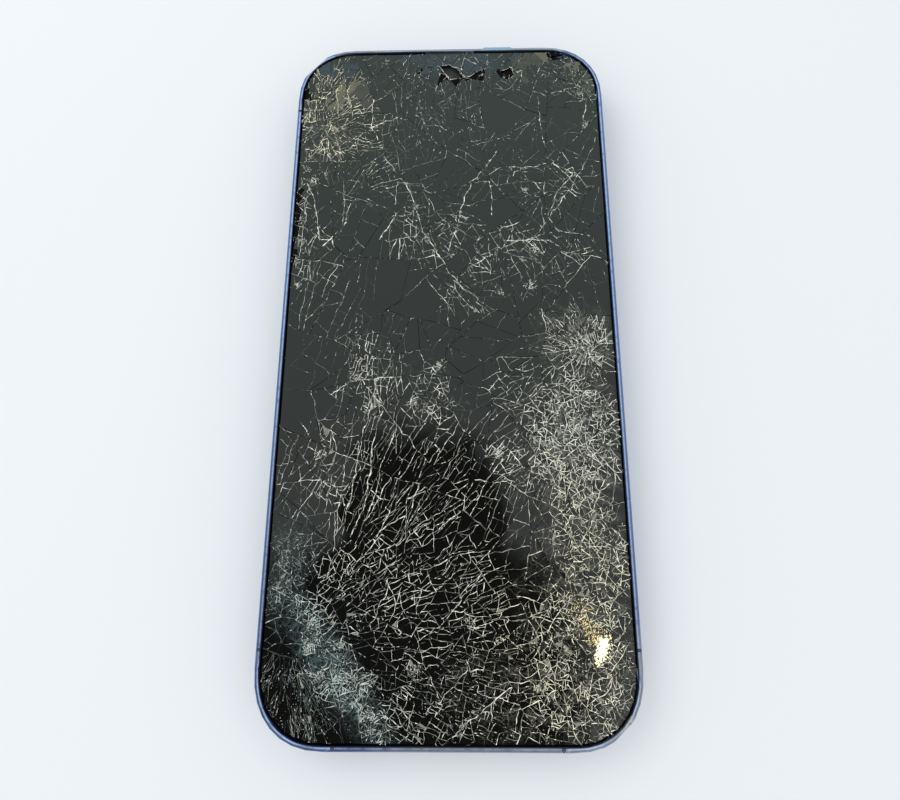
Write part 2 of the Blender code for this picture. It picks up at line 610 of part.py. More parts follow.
def split_face(bm, face, point, way):
    """Splits one flat face along a line and returns its pieces, or one where it is missed."""
    normal = Vector((-math.sin(way), math.cos(way), 0.0))
    geometry = [face] + list(face.edges) + list(face.verts)
    cut = bmesh.ops.bisect_plane(bm, geom=geometry, dist=WELD * 5, plane_co=(*point, 0.0),
                                 plane_no=normal)
    return [item for item in cut["geom"] if isinstance(item, bmesh.types.BMFace)]


def break_up(bm, smallest, rng):
    """Splits shards again and again, until each is about as small as its place asks."""
    waiting = list(bm.faces)
    while waiting:
        face = waiting.pop()
        line = crack_line(face_points(face), smallest, rng)
        if line:
            pieces = split_face(bm, face, *line)
            if len(pieces) > 1:
                waiting.extend(pieces)


def bend_cracks(bm, rng):
    """Moves the corners inside the sheet a little, so that no crack runs dead straight."""
    for vert in [v for v in bm.verts if not v.is_boundary]:
        room = min(edge.calc_length() for edge in vert.link_edges)
        for face in vert.link_faces:
            for edge in [e for e in face.edges if vert not in e.verts]:
                start, stop = (v.co for v in edge.verts)
                along = (vert.co - start).dot(stop - start) / (stop - start).length_squared
                nearest = start.lerp(stop, min(max(along, 0.0), 1.0))
                room = min(room, (vert.co - nearest).length)
        turn = rng.uniform(0.0, 2 * math.pi)
        reach = room * CRACK_WANDER * rng.uniform(0.4, 1.0)
        vert.co += Vector((math.cos(turn), math.sin(turn), 0.0)) * reach


def meets(points, polygon):
    """Whether two convex outlines overlap, by looking for a side that parts them."""
    for loop in (points, polygon):
        for start, stop in zip(loop, loop[1:] + loop[:1]):
            way = (stop[1] - start[1], start[0] - stop[0])
            first = [p[0] * way[0] + p[1] * way[1] for p in points]
            second = [p[0] * way[0] + p[1] * way[1] for p in polygon]
            if max(first) <= min(second) + WELD * MM or max(second) <= min(first) + WELD * MM:
                return False
    return True


def face_points(face):
    """A face's corners in the glass's plane."""
    return [(vert.co.x, vert.co.y) for vert in face.verts]


def open_chips(bm):
    """Cracks the shards along each missing chip's outline and takes the chip out."""
    for chip in MISSING_CHIPS:
        outline = [(x * MM, HALF_HEIGHT - drop * MM) for x, drop in chip]
        for start, stop in zip(outline, outline[1:] + outline[:1]):
            way = math.atan2(stop[1] - start[1], stop[0] - start[0])
            for face in [f for f in bm.faces if meets(face_points(f), outline)]:
                split_face(bm, face, start, way)
        gone = [f for f in bm.faces if meets(face_points(f), outline)]
        bmesh.ops.delete(bm, geom=gone, context="FACES")


def raise_shards(bm, rng):
    """Lifts each shard's top out of the cracks round it, a little tilted."""
    for face in list(bm.faces):
        middle = face.calc_center_median()
        ring = bmesh.ops.extrude_discrete_faces(bm, faces=[face])["faces"][0]
        reach = sum((v.co - middle).length for v in ring.verts) / len(ring.verts)
        shrink = 1 - min(GROOVE_WIDTH / reach, 0.3)
        slope_x, slope_y = rng.gauss(0.0, SHARD_TILT), rng.gauss(0.0, SHARD_TILT)
        lift = rng.uniform(-SHARD_LIFT, 0.0)
        for vert in ring.verts:
            offset = (vert.co - middle) * shrink
            tilt = slope_x * offset.x + slope_y * offset.y
            tilt = max(min(tilt, SHARD_LIFT), -SHARD_LIFT) - SHARD_LIFT
            vert.co = middle + offset + Vector((0.0, 0.0, GROOVE_DEPTH + tilt + lift))


def build_front_glass():
    """The broken sheet: shards with a groove round each, over one flat back."""
    rng = random.Random(CRACK_SEED)
    bm = bmesh.new()
    corners = [bm.verts.new((x, y, 0.0)) for x, y in body_outline(GLASS_INSET)]
    bm.faces.new(corners)
    for smallest in (FIRST_CELL, 0.0):
        break_up(bm, smallest, rng)
        bend_cracks(bm, rng)
    open_chips(bm)
    bm.faces.ensure_lookup_table()
    raise_shards(bm, rng)
    rim = [edge for edge in bm.edges if edge.is_boundary]
    skirt = bmesh.ops.extrude_edge_only(bm, edges=rim)["geom"]
    low = [item for item in skirt if isinstance(item, bmesh.types.BMVert)]
    bmesh.ops.translate(bm, verts=low, vec=(0.0, 0.0, GROOVE_DEPTH - GLASS_THICKNESS))
    loops = [edge for edge in bm.edges if edge.is_boundary]
    bmesh.ops.triangle_fill(bm, edges=loops, use_beauty=True)
    bmesh.ops.triangulate(bm, faces=bm.faces)
    bmesh.ops.recalc_face_normals(bm, faces=bm.faces)
    bmesh.ops.translate(bm, verts=bm.verts, vec=(0.0, 0.0, GLASS_TOP - GROOVE_DEPTH))
    mesh = bpy.data.meshes.new("front_glass")
    bm.to_mesh(mesh)
    bm.free()
    add_object("front_glass", mesh, BLACK_GLASS)


def build_display():
    """The panel, its backing tray and gasket, with a window for the sensors."""
    window = rounded(*SENSOR_WINDOW, SENSOR_WINDOW[1] / 2,
                     center=(SENSOR_WINDOW_RIGHT, WINDOW_Y))
    slab("display_panel", [body_outline(GLASS_INSET + PANEL_BORDER), window],
         PANEL_TOP - PANEL_THICKNESS, PANEL_TOP, PANEL_BLACK)
    slab("display_backplate", [body_outline(GLASS_INSET), window], BACKPLATE_LOW, BACKPLATE_TOP,
         BLACK_PLASTIC)
    gasket_low = LEDGE_HEIGHT + STACK_GAP / 2
    slab("display_gasket", [body_outline(GLASS_INSET), body_outline(GLASS_INSET + GASKET_WIDTH)],
         gasket_low, gasket_low + GASKET_THICKNESS, BLACK_PLASTIC)
    flex_top = BACKPLATE_LOW - STACK_GAP
    flex_left, flex_right = BOARD_LEFT - DISPLAY_FLEX_REACH, BOARD_LEFT + CONNECTOR_TAB
    flex = [(flex_left, READER_TOP), (flex_right, READER_TOP),
            (flex_right, READER_TOP + DISPLAY_FLEX_WIDTH),
            (flex_left, READER_TOP + DISPLAY_FLEX_WIDTH)]
    slab("display_flex", [flex], flex_top - FLEX_THICKNESS, flex_top, FLEX_AMBER)


def build_earpiece_mesh():
    """A fine mesh strip in the slot between the glass and the rim."""
    inner = HALF_HEIGHT - RIM_WIDTH
    box("earpiece_mesh",
        (-EARPIECE_LENGTH / 2 + STACK_GAP, inner - STACK_GAP / 2, GLASS_LOW),
        (EARPIECE_LENGTH / 2 - STACK_GAP, inner + EARPIECE_DEPTH - STACK_GAP,
         GLASS_TOP - SEAT_GAP), BLACK_PLASTIC)


def build_back():
    """The back glass, charging coil and the magnets round it."""
    island = rounded(ISLAND_SIZE[0] + 2 * SLIDING_GAP, ISLAND_SIZE[1] + 2 * SLIDING_GAP,
                     ISLAND_SIZE[0] / 2 + SLIDING_GAP, center=(ISLAND_X, ISLAND_Y), steps=6)
    flash_x = ISLAND_X - FLASH_OFFSET
    flash = circle(FLASH_RADIUS + SLIDING_GAP, (flash_x, LENS_YS["upper"]), 20)
    hole = circle(MICROPHONE_RADIUS, (flash_x, LENS_YS["upper"] - MICROPHONE_DROP), 10)
    back = slab("back_glass", [body_outline(GLASS_INSET), island, flash, hole], 0.0,
                BACK_GLASS_THICKNESS, BACK_BLUE)
    add_bevel(back, BACK_BEVEL, angle=75.0)
    rod("flash_lens", FLASH_RADIUS, STACK_GAP, BACK_GLASS_THICKNESS + COIL_THICKNESS,
        FLASH_PLASTIC, at=(flash_x, LENS_YS["upper"], 0.0), sides=20)
    above = BACK_GLASS_THICKNESS + STACK_GAP
    rod("rear_microphone", 2 * MICROPHONE_RADIUS, above, above + COIL_THICKNESS,
        BLACK_PLASTIC, at=(flash_x, LENS_YS["upper"] - MICROPHONE_DROP, 0.0), sides=12)
    for name, radii, material in (("magnet_ring", MAGNET_RADII, MAGNET_GREY),
                                  ("charging_coil", COIL_RADII, COPPER)):
        loops = [circle(radii[1], steps=32), circle(radii[0], steps=32)]
        slab(name, loops, above, above + COIL_THICKNESS, material, at=(0.0, -MAGNET_DROP, 0.0))


def build_camera_island():
    """The raised island with its two lens rings, their covers and the cameras behind them."""
    loops = [rounded(*ISLAND_SIZE, ISLAND_SIZE[0] / 2, center=(ISLAND_X, ISLAND_Y), steps=6)]
    for lens_y in LENS_YS.values():
        loops.append(circle(LENS_HOLE, (ISLAND_X, lens_y)))
    island = slab("camera_island", loops, -ISLAND_RISE, BACK_GLASS_THICKNESS, BACK_BLUE)
    add_bevel(island, ISLAND_BEVEL, angle=75.0)
    for level, lens_y in LENS_YS.items():
        at = (ISLAND_X, lens_y, 0.0)
        inner = LENS_RING_RADIUS - LENS_RING_WALL
        bottom = -ISLAND_RISE - LENS_RING_RISE
        collar = slab("lens_ring_" + level, [circle(LENS_RING_RADIUS), circle(inner)],
                      bottom, -ISLAND_RISE - STACK_GAP / 2, BLUE_METAL, at=at)
        sleeve = slab("lens_sleeve_" + level, [circle(LENS_HOLE - STACK_GAP), circle(inner)],
                      -ISLAND_RISE - STACK_GAP, BACK_GLASS_THICKNESS, None, at=at,
                      collection=CUTTERS)
        combine(collar, sleeve, "UNION")
        cover_low = bottom + LENS_COVER_SINK
        rod("lens_cover_" + level, inner - STACK_GAP, cover_low,
            cover_low + LENS_COVER_THICKNESS, LENS_GLASS, at=at, sides=26)
        camera_low = BACK_GLASS_THICKNESS + STACK_GAP
        reach = CAMERA_SIZE / 2
        camera = box("rear_camera_" + level, (ISLAND_X - reach, lens_y - reach, camera_low),
                     (ISLAND_X + reach, lens_y + reach, LEDGE_HEIGHT), BLACK_PLASTIC)
        barrel = rod("barrel_" + level, CAMERA_BARREL, cover_low + LENS_COVER_THICKNESS + STACK_GAP,
                     camera_low + SEAT_GAP, None, at=at, collection=CUTTERS, sides=24)
        combine(camera, barrel, "UNION")


def build_button(name, side, y, length):
    """A side button: a cap through the wall and a flange that keeps it in."""
    cap = rounded(length, BUTTON_HEIGHT, BUTTON_HEIGHT / 2, steps=5)
    flange_top = BAY_X - SLIDING_GAP
    button = slab(name, [cap], flange_top - FLANGE_THICKNESS / 2, HALF_WIDTH + BUTTON_RISE,
                  BLUE_METAL, side, (0.0, y, BUTTON_Z))
    add_bevel(button, BUTTON_BEVEL)
    flange = rounded(length + 2 * FLANGE_OVERLAP, BUTTON_HEIGHT - SLIDING_GAP,
                     BUTTON_HEIGHT / 4, steps=2)
    combine(button, slab(name + "_flange", [flange], flange_top - FLANGE_THICKNESS, flange_top,
                         None, side, (0.0, y, BUTTON_Z), CUTTERS), "UNION")
    wall_slot(name + "_slot", side, y, length, BUTTON_HEIGHT)


def build_tact_switch(name, side, y):
    """The click switch behind a button, with a low dome that the flange presses."""
    sign = 1 if side == "right" else -1
    depth, width, height = TACT_SIZE
    front = sign * (SWITCH_X - SEAT_GAP / 2)
    ends = sorted((front, front - sign * depth))
    switch = box(name, (ends[0], y - width / 2, BUTTON_Z - height / 2),
                 (ends[1], y + width / 2, BUTTON_Z + height / 2), STEEL)
    dome = rod(name + "_dome", height / 4, SWITCH_X - SEAT_GAP, SWITCH_X, None, side,
               (0.0, y, BUTTON_Z), CUTTERS, sides=12)
    combine(switch, dome, "UNION")


def build_mute_switch():
    """A lever that slides across its slot, and the switch body behind it."""
    y = HALF_HEIGHT - MUTE_FROM_TOP
    rest = BUTTON_Z - MUTE_TRAVEL / 2
    cap = rounded(MUTE_LENGTH, MUTE_HEIGHT, MUTE_HEIGHT / 2, steps=4)
    lever = slab("mute_switch", [cap], BAY_X + SLIDING_GAP, HALF_WIDTH - MUTE_SUNK,
                 BLUE_METAL, "left", (0.0, y, rest))
    add_bevel(lever, BUTTON_BEVEL)
    stem = rounded(MUTE_LENGTH / 2, MUTE_HEIGHT / 2, MUTE_HEIGHT / 8, steps=2)
    combine(lever, slab("mute_stem", [stem], BAY_X - SEAT_GAP, BAY_X + SEAT_GAP, None, "left",
                        (0.0, y, rest), CUTTERS), "UNION")
    height = MUTE_HEIGHT + MUTE_TRAVEL
    outline = rounded(MUTE_LENGTH + 2 * SLIDING_GAP, height + 2 * SLIDING_GAP,
                      MUTE_HEIGHT / 2, steps=4)
    slab("mute_slot", [outline], BAY_X - CUT_OVERRUN, HALF_WIDTH + CUT_OVERRUN, None, "left",
         (0.0, y, BUTTON_Z), FRAME_CUTTERS)
    depth, width, height = TACT_SIZE
    inner = -BAY_X + SEAT_GAP + STACK_GAP
    box("mute_switch_body", (inner, y - width / 2, BUTTON_Z - height / 2),
        (inner + depth, y + width / 2, BUTTON_Z + height / 2), STEEL)


def build_sim_tray():
    """The tray, its face flush with the wall, and the reader that it slides out of."""
    face = rounded(*TRAY_FACE, TRAY_FACE[1] / 2)
    face_back = HALF_WIDTH - TRAY_FACE_DEPTH
    tray = slab("sim_tray", [face], face_back, HALF_WIDTH, BLUE_METAL, "right",
                (0.0, TRAY_Y, TRAY_HEIGHT))
    inner = HALF_WIDTH - TRAY_LENGTH
    reach_y = TRAY_WIDTH / 2
    blade = [(inner, -reach_y), (HALF_WIDTH - TRAY_FACE_DEPTH / 2, -reach_y),
             (HALF_WIDTH - TRAY_FACE_DEPTH / 2, reach_y), (inner, reach_y)]
    card_low = inner + TRAY_LIP
    card = [(card_low, -TRAY_CARD[1] / 2), (card_low + TRAY_CARD[0], -TRAY_CARD[1] / 2),
            (card_low + TRAY_CARD[0], TRAY_CARD[1] / 2), (card_low, TRAY_CARD[1] / 2)]
    combine(tray, slab("tray_blade", [blade, card], TRAY_HEIGHT - TRAY_THICKNESS / 2,
                       TRAY_HEIGHT + TRAY_THICKNESS / 2, None, at=(0.0, TRAY_Y, 0.0),
                       collection=CUTTERS), "UNION")
    combine(tray, rod("eject_hole", EJECT_RADIUS, face_back - CUT_OVERRUN,
                      HALF_WIDTH + CUT_OVERRUN, None, "right",
                      (0.0, TRAY_Y + TRAY_FACE[0] / 2 - EJECT_MARGIN, TRAY_HEIGHT),
                      CUTTERS, sides=10), "DIFFERENCE")
    wall_slot("tray_slot", "right", TRAY_Y, *TRAY_FACE, z=TRAY_HEIGHT)
    gap = SLIDING_GAP + READER_WALL
    reader = box("sim_reader",
                 (inner - gap, READER_BOTTOM, TRAY_HEIGHT - TRAY_THICKNESS / 2 - gap),
                 (BOARD_RIGHT, READER_TOP, TRAY_HEIGHT + TRAY_THICKNESS / 2 + gap),
                 STEEL)
    tunnel = cutter_box("reader_tunnel",
                        (inner - SLIDING_GAP, TRAY_Y - reach_y - SLIDING_GAP,
                         TRAY_HEIGHT - TRAY_THICKNESS / 2 - SLIDING_GAP),
                        (BOARD_RIGHT + CUT_OVERRUN, TRAY_Y + reach_y + SLIDING_GAP,
                         TRAY_HEIGHT + TRAY_THICKNESS / 2 + SLIDING_GAP))
    combine(reader, tunnel, "DIFFERENCE")


def build_bottom():
    """The charge port and its tongue, the speaker, microphone, motor, meshes and screws."""
    outer = rounded(*PORT_SIZE, PORT_SIZE[1] / 2)
    inner = rounded(PORT_SIZE[0] - 2 * PORT_WALL, PORT_SIZE[1] - 2 * PORT_WALL,
                    PORT_SIZE[1] / 2 - PORT_WALL)
    front = HALF_HEIGHT - PORT_SINK
    at = (0.0, 0.0, BUTTON_Z)
    slab("charge_port_shell", [outer, inner], front - PORT_DEPTH, front, STEEL, "bottom", at)
    block = rounded(PORT_SIZE[0] - 2 * PORT_WALL - 2 * STACK_GAP,
                    PORT_SIZE[1] - 2 * PORT_WALL - 2 * STACK_GAP,
                    PORT_SIZE[1] / 2 - PORT_WALL - STACK_GAP)
    tongue_back = front - PORT_DEPTH + PORT_BLOCK
    tongue = slab("charge_port_tongue", [block], front - PORT_DEPTH, tongue_back, BLACK_PLASTIC,
                  "bottom", at)
    width, length, height = TONGUE_SIZE
    blade = rounded(width, height, height / 4, steps=1)
    combine(tongue, slab("tongue_blade", [blade], tongue_back - STACK_GAP, tongue_back + length,
                         None, "bottom", at, CUTTERS), "UNION")
    edge = 2 * SPEAKER_HOLE_RADIUS
    row = (SPEAKER_END - (SPEAKER_HOLES - 1) * SPEAKER_HOLE_PITCH - edge, SPEAKER_END + edge)
    mesh_y = -BAY_Y + STACK_GAP
    for name, sign in (("loudspeaker_mesh", 1), ("microphone_mesh", -1)):
        ends = sorted(sign * x for x in row)
        box(name, (ends[0], mesh_y, BUTTON_Z - edge), (ends[1], mesh_y + SEAT_GAP, BUTTON_Z + edge),
            BLACK_PLASTIC)
    rear = mesh_y + SEAT_GAP + STACK_GAP
    box("loudspeaker", (row[0], rear, BAY_FLOOR),
        (row[1], -BAY_Y + BATTERY_BOTTOM_BAY - BAY_GAP, LEDGE_HEIGHT), BLACK_PLASTIC,
        bevel=CASE_BEVEL)
    length, width, height = BOTTOM_MICROPHONE
    box("bottom_microphone", (-row[0] - length, rear, BAY_FLOOR),
        (-row[0], rear + width, BAY_FLOOR + height), STEEL)
    box("vibration_motor", (-BAY_X + SWITCH_BAY, rear + MOTOR_BACK, BAY_FLOOR),
        (-PORT_SIZE[0] / 2 - 2 * BAY_GAP, rear + MOTOR_BACK + MOTOR_WIDTH, LEDGE_HEIGHT), STEEL,
        bevel=CASE_BEVEL)
    for name, sign in (("left", -1), ("right", 1)):
        at = (sign * BOTTOM_SCREW_OFFSET, 0.0, BUTTON_Z)
        screw = rod("bottom_screw_" + name, BOTTOM_SCREW_RADIUS,
                    HALF_HEIGHT - SEAT_GAP - BOTTOM_SCREW_LENGTH, HALF_HEIGHT - SEAT_GAP,
                    STEEL, "bottom", at, sides=12)
        combine(screw, rod("socket_" + name, SOCKET_RADIUS,
                           HALF_HEIGHT - SEAT_GAP - SOCKET_DEPTH, HALF_HEIGHT, None, "bottom",
                           at, CUTTERS, sides=5), "DIFFERENCE")


def build_board():
    """The logic board with its shields, screws, connector and flexes."""
    loops = [rounded(BOARD_RIGHT - BOARD_LEFT, BOARD_UPPER - BOARD_LOWER, BOARD_CORNER,
                     center=((BOARD_LEFT + BOARD_RIGHT) / 2, (BOARD_UPPER + BOARD_LOWER) / 2),
                     steps=2)]
    for place in BOARD_SCREWS:
        loops.append(circle(BOARD_SCREW_SHAFT + STACK_GAP, place, 10))
    slab("logic_board", loops, BAY_FLOOR, BOARD_HIGH, BOARD_BLUE)
    for number, (x, y) in enumerate(BOARD_SCREWS, start=1):
        screw = rod("board_screw_%d" % number, BOARD_SCREW_RADIUS, SHIELD_LOW,
                    SHIELD_LOW + BOARD_SCREW_HEAD, STEEL, at=(x, y, 0.0), sides=12)
        shaft = rod("board_screw_shaft", BOARD_SCREW_SHAFT, MIDPLATE_LOW,
                    SHIELD_LOW + BOARD_SCREW_HEAD / 2, None, at=(x, y, 0.0),
                    collection=CUTTERS, sides=10)
        combine(screw, shaft, "UNION")
    edge = BAY_GAP / 2
    connector_high = READER_TOP + edge + CONNECTOR_WIDTH
    box("board_shield_upper", (BOARD_LEFT + edge, connector_high + edge, SHIELD_LOW),
        (BOARD_RIGHT - edge, BOARD_UPPER - SHIELD_MARGIN, SHIELD_LOW + SHIELD_HEIGHT), STEEL,
        bevel=CASE_BEVEL)
    box("board_shield_lower", (BOARD_LEFT + edge, BOARD_LOWER + SHIELD_MARGIN, SHIELD_LOW),
        (BOARD_RIGHT - edge, READER_BOTTOM - edge, SHIELD_LOW + SHIELD_HEIGHT), STEEL,
        bevel=CASE_BEVEL)
    box("battery_connector", (BOARD_LEFT + edge, READER_TOP + 2 * edge, SHIELD_LOW),
        (BOARD_LEFT + CONNECTOR_TAB, connector_high - edge, SHIELD_LOW + CONNECTOR_HEIGHT),
        BLACK_PLASTIC)
    cover_low = SHIELD_LOW + CONNECTOR_HEIGHT + STACK_GAP
    box("connector_cover", (BOARD_LEFT + edge, READER_TOP + edge, cover_low),
        (BOARD_RIGHT - edge, connector_high, cover_low + COVER_THICKNESS), STEEL)


def build_bay_pieces():
    """The battery and the pieces at the top of the bay."""
    left = -BAY_X + SWITCH_BAY
    battery_low = MIDPLATE_TOP + BATTERY_FLOOR
    battery = box("battery", (left, -BAY_Y + BATTERY_BOTTOM_BAY, battery_low),
                  (BOARD_LEFT - BAY_GAP, BAY_Y - BATTERY_TOP_BAY, battery_low + BATTERY_THICKNESS),
                  BATTERY_BLACK, bevel=BATTERY_BEVEL)
    battery.modifiers["edges"].segments = 2
    window_left = SENSOR_WINDOW_RIGHT - SENSOR_WINDOW[0] / 2
    window_right = SENSOR_WINDOW_RIGHT + SENSOR_WINDOW[0] / 2
    module = SENSOR_WINDOW[1] - 2 * SEAT_GAP
    top = PANEL_TOP - STACK_GAP
    low_y, high_y = WINDOW_Y - module / 2, WINDOW_Y + module / 2
    box("sensor_module", (window_left + module / 2, low_y, BAY_FLOOR),
        (SENSOR_WINDOW_RIGHT, high_y, top), BLACK_PLASTIC)
    barrel = rod("front_camera", module / 2, BAY_FLOOR, top, LENS_GLASS,
                 at=(window_right - module, WINDOW_Y, 0.0), sides=24)
    housing = cutter_box("front_camera_housing",
                         (window_right - 1.5 * module, low_y, BAY_FLOOR),
                         (window_right - 0.5 * module, high_y, LEDGE_HEIGHT))
    combine(barrel, housing, "UNION")
    speaker_top = low_y - BAY_GAP
    length, width = EARPIECE_SPEAKER
    box("earpiece_speaker", (-length / 2, speaker_top - width, BAY_FLOOR),
        (length / 2, speaker_top, LEDGE_HEIGHT), BLACK_PLASTIC, bevel=CASE_BEVEL)
    flex_low = MIDPLATE_TOP + STACK_GAP / 2
    run = PORT_SIZE[0] / 3
    tab_left, tab_right = BOARD_LEFT + DOCK_FLEX_TAB, BOARD_LEFT + CONNECTOR_TAB
    lower = BOARD_LOWER - 2 * DOCK_FLEX_WIDTH
    tab_top = BOARD_LOWER + BOARD_SCREW_INSET
    flex = [(-run, -BAY_Y + DOCK_FLEX_START), (run, -BAY_Y + DOCK_FLEX_START), (run, lower),
            (tab_right, lower), (tab_right, tab_top), (tab_left, tab_top),
            (tab_left, lower + DOCK_FLEX_WIDTH), (-run, lower + DOCK_FLEX_WIDTH)]
    slab("dock_flex", [flex], flex_low, flex_low + FLEX_THICKNESS, FLEX_AMBER)


build_antenna_breaks()
build_button("power_button", "right", HALF_HEIGHT - POWER_FROM_TOP, POWER_LENGTH)
build_tact_switch("power_switch", "right", HALF_HEIGHT - POWER_FROM_TOP)
for direction, rank in (("up", 0), ("down", 1)):
    volume_y = HALF_HEIGHT - VOLUME_UP_FROM_TOP - rank * VOLUME_PITCH
    build_button("volume_%s_button" % direction, "left", volume_y, VOLUME_LENGTH)
    build_tact_switch("volume_%s_switch" % direction, "left", volume_y)
build_mute_switch()
build_sim_tray()
build_frame()
build_front_glass()
build_display()
build_earpiece_mesh()
build_back()
build_camera_island()
build_bottom()
build_board()
build_bay_pieces()
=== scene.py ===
"""Looks of the shattered slab phone: its glass, cracks, metal band, back and studio.

Metres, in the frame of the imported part: +X right as the screen is seen, +Y to the phone's top,
+Z out of the screen. Sizes with the suffix _mm are millimetres.
"""

import json
import logging
import math
import random
from collections import Counter
from dataclasses import dataclass, field
from enum import Enum
from typing import Any, Callable, ClassVar, Iterable, Optional, Union

import bmesh
import bpy
from mathutils import Matrix, Vector, noise


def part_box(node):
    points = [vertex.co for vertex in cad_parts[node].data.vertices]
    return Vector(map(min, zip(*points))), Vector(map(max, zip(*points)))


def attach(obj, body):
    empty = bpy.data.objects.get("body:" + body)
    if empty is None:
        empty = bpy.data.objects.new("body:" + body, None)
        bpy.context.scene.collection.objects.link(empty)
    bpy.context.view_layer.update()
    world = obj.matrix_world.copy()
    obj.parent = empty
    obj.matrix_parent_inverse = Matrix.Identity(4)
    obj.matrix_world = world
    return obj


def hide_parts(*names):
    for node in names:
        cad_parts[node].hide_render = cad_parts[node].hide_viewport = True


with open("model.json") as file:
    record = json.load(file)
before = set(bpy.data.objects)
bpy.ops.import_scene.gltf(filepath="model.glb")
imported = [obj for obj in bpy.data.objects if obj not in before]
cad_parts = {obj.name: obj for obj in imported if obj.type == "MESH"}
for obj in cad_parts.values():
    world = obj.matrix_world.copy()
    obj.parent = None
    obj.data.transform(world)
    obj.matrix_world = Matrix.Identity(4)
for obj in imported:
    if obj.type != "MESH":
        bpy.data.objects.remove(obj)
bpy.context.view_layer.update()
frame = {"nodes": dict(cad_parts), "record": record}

MM = 0.001
LOG = logging.getLogger("shattered_phone")
Color = tuple[float, float, float]
Point = tuple[float, float]
BODY = "body"
GLASS_NODE = "front_glass"
GLASS_SLOT = "cracked_glass"
MERGE_REACH = 0.0005 * MM
FULL_TURN = 2 * math.pi


def linear(red: int, green: int, blue: int) -> Color:
    """The linear colour of an 8-bit display colour."""
    def channel(value: int) -> float:
        share = value / 255
        return share / 12.92 if share <= 0.04045 else ((share + 0.055) / 1.055) ** 2.4
    return channel(red), channel(green), channel(blue)


def shaded(color: Color, share: float) -> Color:
    """A darker tone of a colour."""
    return tuple(part * share for part in color)


def maths(operation: str, swapped: bool = False) -> Callable[["Value", Any], "Value"]:
    """Makes an arithmetic method of Value.

    Args:
        operation: The Math node's operation.
        swapped: Whether the other number comes first.

    Returns:
        A method that takes the other number.
    """
    def method(self: "Value", other: Any) -> "Value":
        """Adds the Math node."""
        return self.math(operation, *((other, self) if swapped else (self, other)))
    return method


class Value:
    """A shader socket that carries a number, with arithmetic that adds Math nodes."""

    def __init__(self, owner: "Shading", socket: bpy.types.NodeSocket) -> None:
        """Wraps a socket of a node tree."""
        self.owner = owner
        self.socket = socket

    def math(self, operation: str, first: Any, second: Any = 0.0, clamp: bool = False) -> "Value":
        """Adds one Math node."""
        node = self.owner.node("ShaderNodeMath", {"operation": operation, "use_clamp": clamp},
                               {0: first, 1: second})
        return Value(self.owner, node.outputs[0])

    __add__ = maths("ADD")
    __sub__ = maths("SUBTRACT")
    __rsub__ = maths("SUBTRACT", swapped=True)
    __mul__ = maths("MULTIPLY")
    __truediv__ = maths("DIVIDE")
    __pow__ = maths("POWER")
    above = maths("MAXIMUM")

    def clamped(self) -> "Value":
        """The value held between 0 and 1."""
        return self.math("ADD", self, 0.0, clamp=True)

    def over(self, low: float, high: float) -> "Value":
        """A ramp from 0 at low to 1 at high, held there; low may be the larger."""
        return ((self - low) * (1.0 / (high - low))).clamped()

    def size(self) -> "Value":
        """The value without its sign."""
        return self.math("ABSOLUTE", self)


class NodeTree:
    """A node tree that is built node by node."""

    def __init__(self, tree: bpy.types.NodeTree) -> None:
        """Takes the tree."""
        self.tree = tree

    def node(self, kind: str, settings: Optional[dict] = None,
             inputs: Optional[dict] = None) -> bpy.types.Node:
        """Adds a node.

        Args:
            kind: The node's type.
            settings: Its own settings, which are set first.
            inputs: Values or links for its sockets, by name or number.

        Returns:
            The new node.
        """
        made = self.tree.nodes.new(kind)
        for key, value in (settings or {}).items():
            setattr(made, key, value)
        for key, value in (inputs or {}).items():
            self.feed(made.inputs[key], value)
        return made

    def feed(self, socket: bpy.types.NodeSocket, value: Any) -> None:
        """Links a socket, or sets its own value."""
        if isinstance(value, Value):
            value = value.socket
        if isinstance(value, bpy.types.NodeSocket):
            self.tree.links.new(value, socket)
        elif isinstance(value, tuple) and socket.type == "RGBA":
            socket.default_value = (*value[:3], 1.0)
        else:
            socket.default_value = value


class Shading(NodeTree):
    """The shader nodes of a material or world."""

    def __init__(self, owner: Union[bpy.types.Material, bpy.types.World]) -> None:
        """Takes the tree of a material or world."""
        owner.use_nodes = True
        super().__init__(owner.node_tree)

    def blend(self, share: Any, low: Any, high: Any) -> bpy.types.NodeSocket:
        """A mix of two colours by a share."""
        made = self.node("ShaderNodeMix", {"data_type": "RGBA", "clamp_factor": True},
                         {0: share, 6: low, 7: high})
        return made.outputs[2]

    def split(self, vector: bpy.types.NodeSocket) -> tuple[Value, Value, Value]:
        """The three parts of a vector."""
        parts = self.node("ShaderNodeSeparateXYZ", None, {0: vector})
        return tuple(Value(self, out) for out in parts.outputs)


